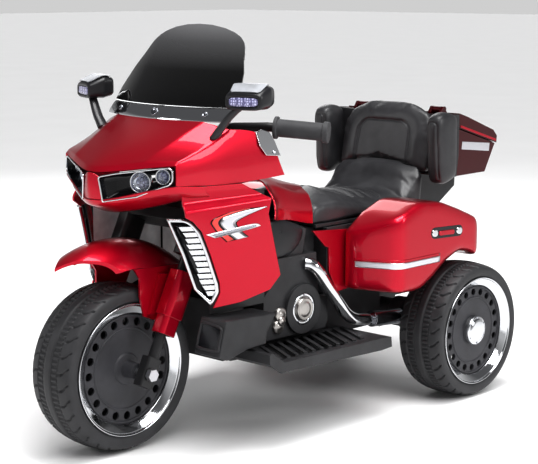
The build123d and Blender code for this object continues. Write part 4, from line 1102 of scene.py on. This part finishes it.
def drape(o, line, heights, lift, s):
    """Rows of points on the outside of o, along a plan line of (x, y) mm at each height."""
    with editing(o.data) as bm:
        tree = BVHTree.FromBMesh(bm)
    pts = smooth_line([Vector((x, y, 0)) for x, y in line], 12)
    rows = []
    for z in heights:
        row = []
        for i, p in enumerate(pts):
            t = (pts[min(i + 1, len(pts) - 1)] - pts[max(i - 1, 0)]).normalized()
            n = Vector((t.y, -t.x, 0))
            start = P(s * (p.x + REACH * n.x), p.y + REACH * n.y, z)
            way = Vector((-s * n.x, -n.y, 0))
            hit, normal, _, _ = tree.ray_cast(start, way, 0.06)
            row.append(hit + normal * lift * 0.001 if hit else P(s * p.x, p.y, z))
        rows.append(row[::s])
    return rows


def capsule(y, z, length, height, x, s, n=12):
    """A slot outline with round ends on a bag's side, tilted as its handle is."""
    out = []
    r = height / 2
    for side in (1, -1):
        for k in range(n + 1):
            a = -math.pi / 2 + math.pi * k / n
            u, v = side * (length / 2 - r + r * math.cos(a)), side * r * math.sin(a)
            out.append(P(s * x, y + u, z + v + HANDLE_TILT * u))
    return out[::s]


BAG_SWELL, HANDLE_TILT = 1.2, -0.043
AROUND_BAG = [(152, 437), (172, 446), (196, 456), (213, 465), (223, 475), (227, 488), (228, 520), (228, 588)]
for s, tag in SIDES:
    bag = bag_shell(tag)
    for part, heights, mat, lift, wall in (("stripe", (266, 268, 271.5, 275, 277), SILVER, 0.5, 0.8),
                                           ("bead", (278.5, 279.6, 281.4, 282.5), RED, 0.9, 1.4)):
        sheet_mesh(f"bag_{part}_{tag}", drape(bag, AROUND_BAG, heights, lift, s), mat, wall, 0)
    facing = (s, 0, 0)
    slab(f"bag_recess_{tag}", capsule(608, 319, 96, 22, 229.4, s), facing, 5, GLOSS, 1.2)
    slab(f"bag_pull_{tag}", capsule(606, 318, 46, 9, 231.4, s), facing, 4, RED, 1.0)
    for end, y in (("front", 571), ("rear", 644)):
        z = 319 + HANDLE_TILT * (y - 608)
        slab(f"bag_pull_{end}_{tag}", capsule(y, z, 17, 14, 231.8, s), facing, 5, CHROME, 2.0)

# black front of the trunk, and the frame, stripe and line on its sides; the line rides on the lid
slab("trunk_front_panel", [P(x, 732.6, z) for x, z in ((-136, 402), (136, 402), (136, 519), (-136, 519))],
     (0, -1, 0), 3, LEATHER, 1.0)
TRUNK_TRIM = (
    ("frame", 140.6, ((731, 400), (752, 400), (758.5, 440), (759, 492), (759, 519), (731, 521)), BLACK,
     "chassis"),
    ("stripe", 138.9, ((770, 451), (860, 441), (862, 457), (772, 466)), SILVER, "chassis"),
    ("line", 140.9, ((764, 493.5), (880, 459.4), (882, 463.5), (764, 498.2)), RED, "trunk_lid"))
for s, tag in SIDES:
    for part, x, outline, mat, body in TRUNK_TRIM:
        slab(f"trunk_{part}_{tag}", [P(s * x, y, z) for y, z in outline][::s], (s, 0, 0), 1.6, mat, 0.5,
             body)


# ---------------------------------------------------------------- tank
TANK = [
    [(0, 239, 449), (34, 239, 449), (64, 239, 447), (96, 239, 441), (117, 239, 437), (137, 239, 418),
     (148, 240, 400), (146, 240, 374)],
    [(0, 264, 448), (34, 264, 447.5), (62, 264, 445), (86, 264, 436), (104, 264, 427), (117, 264, 407),
     (124, 264, 388), (121, 264, 366)],
    [(0, 300, 442), (34, 300, 441), (62, 300, 438), (86, 300, 428), (105, 300, 418), (116, 300, 397),
     (120, 300, 381), (119, 300, 366)],
    [(0, 350, 425), (32, 350, 424.5), (58, 350, 421), (80, 350, 411), (98, 350, 402), (109, 350, 387),
     (114, 350, 372), (114, 350, 351)],
    [(0, 400, 411), (32, 400, 411), (58, 400, 408), (78, 400, 401), (93, 400, 395), (104, 400, 380),
     (108, 400, 366), (108, 400, 345)],
    [(0, 456, 399), (32, 456, 399), (58, 456, 396), (78, 456, 392), (92, 456, 388), (101, 456, 374),
     (104, 456, 362), (104, 456, 345)],
]
tank = cage("tank_shell", TANK, RED, 2.5, 3, crease_cols=(4,), strength=0.35, replaces=("tank_cover",),
            edge=0)


def carve(o, outline, z0, z1):
    """Cuts a prism with that plan outline of (x, y) mm out of o."""
    verts = [P(x, y, z) for z in (z0, z1) for x, y in outline]
    me = mesh_of("cutter", verts, prism_faces(len(outline)))
    with editing(me) as bm:
        bmesh.ops.recalc_face_normals(bm, faces=bm.faces)
    cutter = linked("cutter", me)
    modify(o, "cut", "BOOLEAN", operation="DIFFERENCE", solver="EXACT", object=cutter)
    settle(o)
    bpy.data.objects.remove(cutter)


SEAT_NOSE = [(32, 421.6), (64, 391.6), (112, 371.6), (160, 360), (160, 520)]
carve(tank, [(0, 455.6)] + SEAT_NOSE + [(-x, y) for x, y in reversed(SEAT_NOSE)], 300, 480)
round_edges(tank, 0.8, 2, 50)


# ---------------------------------------------------------------- cushions
def blown_up(o, pressure, limit, frames=20):
    """Blows o up as cloth for that many frames, but moves no vertex by more than limit mm."""
    rest = np.array([v.co for v in o.data.vertices])
    cloth = o.modifiers.new("cloth", "CLOTH")
    assign(cloth.settings, use_pressure=True, uniform_pressure_force=pressure, quality=6,
           tension_stiffness=30,
           compression_stiffness=30, shear_stiffness=15, bending_stiffness=1.5)
    cloth.settings.effector_weights.gravity = 0
    assign(cloth.point_cache, frame_start=1, frame_end=frames)
    for f in range(1, frames + 1):
        bpy.context.scene.frame_set(f)
    settle(o)
    bpy.context.scene.frame_set(1)
    step = np.array([v.co for v in o.data.vertices]) - rest
    keep = np.minimum(1.0, limit * 0.001 / np.maximum(np.linalg.norm(step, axis=1), 1e-9))
    for v, co in zip(o.data.vertices, rest + step * keep[:, None]):
        v.co = co


def behind_axle(co):
    """A row-frame point in mm, with y measured behind the front axle."""
    return Vector((co.x * 1000, co.y * 1000 - AXLE_Y, co.z * 1000))


def inflate(name, node, body, shrink, puff, pressure, voxel, rounds, split=None, levels=1, shape=None):
    """A stuffed leather pad: the CAD solid's skin, or its half on side split, blown up as cloth."""
    me = NODES[node].data.copy()
    paint(me, LEATHER)
    o = linked(name, me)
    with editing(me) as bm:
        bmesh.ops.remove_doubles(bm, verts=bm.verts, dist=2e-6)
        if split:
            bmesh.ops.delete(bm, geom=[v for v in bm.verts if v.co.x * split < 0], context="VERTS")
    remeshed(o, voxel)
    relax(o, rounds)
    push_out(o, lambda v: -shrink)
    if shape:
        for v in o.data.vertices:
            v.co += shape(behind_axle(v.co)) * 0.001
    blown_up(o, pressure, puff)
    modify(o, "smooth", "SUBSURF", levels=levels, render_levels=levels)
    settle(o)
    for p in o.data.polygons:
        p.use_smooth = True
    return own(o, body)


def press(o, depth):
    """Moves each vertex along its normal by depth(co, normal) mm, with co in mm behind the axle."""
    push_out(o, lambda v: depth(behind_axle(v.co), v.normal))


def notch(d, width):
    """1 on a seam, falling off smoothly over width mm."""
    return math.exp(-(d / width) ** 2)


def crown(co):
    """Lets the seat's flanks fall away, and lifts its middle a little behind the rider's place."""
    height = smoothstep((co.z - 344) / 34)
    lift = 13 * math.exp(-((co.y - 590) / 46) ** 2) * max(0.0, 1 - (co.x / 90) ** 2)
    fall = 20 - 14 * smoothstep((co.y - 600) / 60)
    return Vector((0, 0, height * (lift - fall * min(1.0, abs(co.x) / 104) ** 2)))


seat = inflate("seat_pad", "seat_cushion", "seat", 1.5, 6, 3.0, 0.005, 12, levels=2, shape=crown)
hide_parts("seat_cushion")
CHANNEL_FIRST, CHANNEL_LAST, CHANNEL_STEP = 468.0, 618.0, 25.0


def seat_press(co, n):
    """Sewn cross channels between two side seams."""
    if n.z < 0.2:
        return 0.0
    along_y = co.y + 14 * (co.x / 74) ** 2
    half = 58 + 16 * smoothstep((along_y - CHANNEL_FIRST) / 120)
    inside = (smoothstep((half - abs(co.x)) / 9) * smoothstep((along_y - CHANNEL_FIRST + 6) / 6)
              * smoothstep((CHANNEL_LAST + 6 - along_y) / 6))
    wave = abs(math.sin(math.pi * (along_y - CHANNEL_FIRST) / CHANNEL_STEP))
    seam = notch(abs(co.x) - half - 2, 2.2) if CHANNEL_FIRST < along_y < CHANNEL_LAST else 0.0
    return inside * (3.6 * wave ** 0.6 - 4.2) - 1.4 * seam * (1 - inside)


press(seat, seat_press)

back = inflate("backrest_cushion", "backrest_pad", "chassis", 1.5, 9, 4.0, 0.0042, 14)
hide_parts("backrest_pad")


def arch(u, v, w, top, r):
    """Signed distance from an arch-shaped seam, open at its foot."""
    dx, dz = abs(u) - (w - r), v - (top - r)
    if dx > 0 and dz > 0:
        return math.hypot(dx, dz) - r
    return max(dx, dz) - r


def back_press(co, n):
    """The inset panel of the backrest, and the roll round it."""
    if n.y > -0.3:
        return 0.0
    h = (co.z - 436) / 0.978
    d = arch(co.x, h, 62 + 3 * (70 - h) / 98, 70, 24)
    return -4.0 * notch(d, 2.6) - 1.6 * smoothstep(-d / 6) + 2.6 * notch(d - 20, 13)


press(back, back_press)


def arm_press(co, n):
    """The stitched inset on the front of an arm pad."""
    if n.y > -0.3:
        return 0.0
    d = arch(abs(co.x) - 142, co.z - 460, 11, 50, 9)
    return -2.4 * notch(d, 2.0) if co.z > 402 else 0.0


for s, tag in SIDES:
    pad = inflate(f"arm_cushion_{tag}", "arm_pads", "chassis", 0.5, 5, 3.0, 0.0042, 34, split=s)
    press(pad, arm_press)
    if s > 0:
        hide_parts("arm_pads")


# CAD nodes that hold a left and a right part, listed with the left piece made for them, are hidden
for piece, node in (
        ("lamp_lens_left_0", "headlight_lenses"), ("lamp_bowl_left", "headlight_housings"),
        ("fairing_panel_left", "fairing_panels"), ("grille_frame_left", "side_grilles"),
        ("mirror_shell_left", "mirrors"), ("engine_cap_ring_left", "engine_caps"),
        ("exhaust_pipe_left", "exhaust_pipes"), ("bag_stripe_left", "bag_stripes"),
        ("bag_recess_left", "bag_handles")):
    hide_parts(node)


# ---------------------------------------------------------------- floor, light and camera
def floor():
    """A wide sheet of white paper under the wheels."""
    me = bpy.data.meshes.new("floor")
    with editing(me) as bm:
        bmesh.ops.create_grid(bm, x_segments=8, y_segments=8, size=30)
    m, nt, bsdf = material("floor_paper", (0.93, 0.93, 0.93), rough=0.75)
    mottle(nt, bsdf, noise(nt, 3, 2), (0.92, 0.92, 0.92), (0.94, 0.94, 0.94))
    me.materials.append(m)
    linked("floor", me)


def area_light(name, loc, target, size, power):
    """A square light at loc that faces target."""
    d = bpy.data.lights.new(name, "AREA")
    d.energy = power
    d.size = size
    o = linked(name, d)
    o.location = loc
    o.rotation_euler = (Vector(target) - Vector(loc)).to_track_quat("-Z", "Y").to_euler()


def soft_sun():
    """A wide sun, nearly overhead and on the camera's side."""
    d = bpy.data.lights.new("soft_sun", "SUN")
    d.energy = 2.5
    d.angle = math.radians(50)
    o = linked("soft_sun", d)
    o.rotation_euler = Vector((0.45, -0.20, 1.0)).to_track_quat("Z", "Y").to_euler()


def sky():
    """Light grey near the horizon, darker overhead."""
    world = bpy.data.worlds.new("studio")
    bpy.context.scene.world = world
    world.use_nodes = True
    nt = world.node_tree
    background = nt.nodes["Background"]
    background.inputs["Strength"].default_value = 1.0
    parts = nt.nodes.new("ShaderNodeSeparateXYZ")
    nt.links.new(nt.nodes.new("ShaderNodeTexCoord").outputs["Generated"], parts.inputs["Vector"])
    shade = ramp(nt, parts.outputs["Z"], [(0.10, (0.66, 0.66, 0.66)), (0.42, (0.14, 0.14, 0.145))])
    nt.links.new(shade, background.inputs["Color"])


# the camera fitted to the photographed wheels
CAMERA_AT, AZIMUTH, ELEVATION, LENS_MM = (1.89124, -1.97639, 0.76825), 43.6745, 9.2944, 101.84


def camera():
    """The photo's viewpoint: turned by the azimuth from looking along +Y, and tipped down."""
    az, el = math.radians(AZIMUTH), math.radians(ELEVATION)
    right = Vector((math.cos(az), math.sin(az), 0))
    back = Vector((math.sin(az) * math.cos(el), -math.cos(az) * math.cos(el), math.sin(el)))
    d = bpy.data.cameras.new("camera")
    d.lens = LENS_MM
    d.sensor_width = 36.0
    o = linked("camera", d)
    turn = Matrix((right, back.cross(right), back)).transposed().to_4x4()
    o.matrix_world = Matrix.Translation(Vector(CAMERA_AT)) @ turn
    bpy.context.scene.camera = o


floor()
soft_sun()
area_light("top_box", (0.3, -0.1, 2.4), (0, 0, 0.3), 1.1, 40)
area_light("front_box", (-1.6, -2.4, 1.5), (0, -0.2, 0.35), 0.7, 12)
area_light("side_box", (2.7, 0.7, 1.5), (0, 0.1, 0.35), 0.9, 26)
area_light("back_box", (-2.2, 1.8, 1.8), (0, 0, 0.4), 1.5, 26)
sky()
camera()
bpy.context.scene.view_settings.view_transform = "Standard"
bpy.context.scene.view_settings.gamma = 0.88
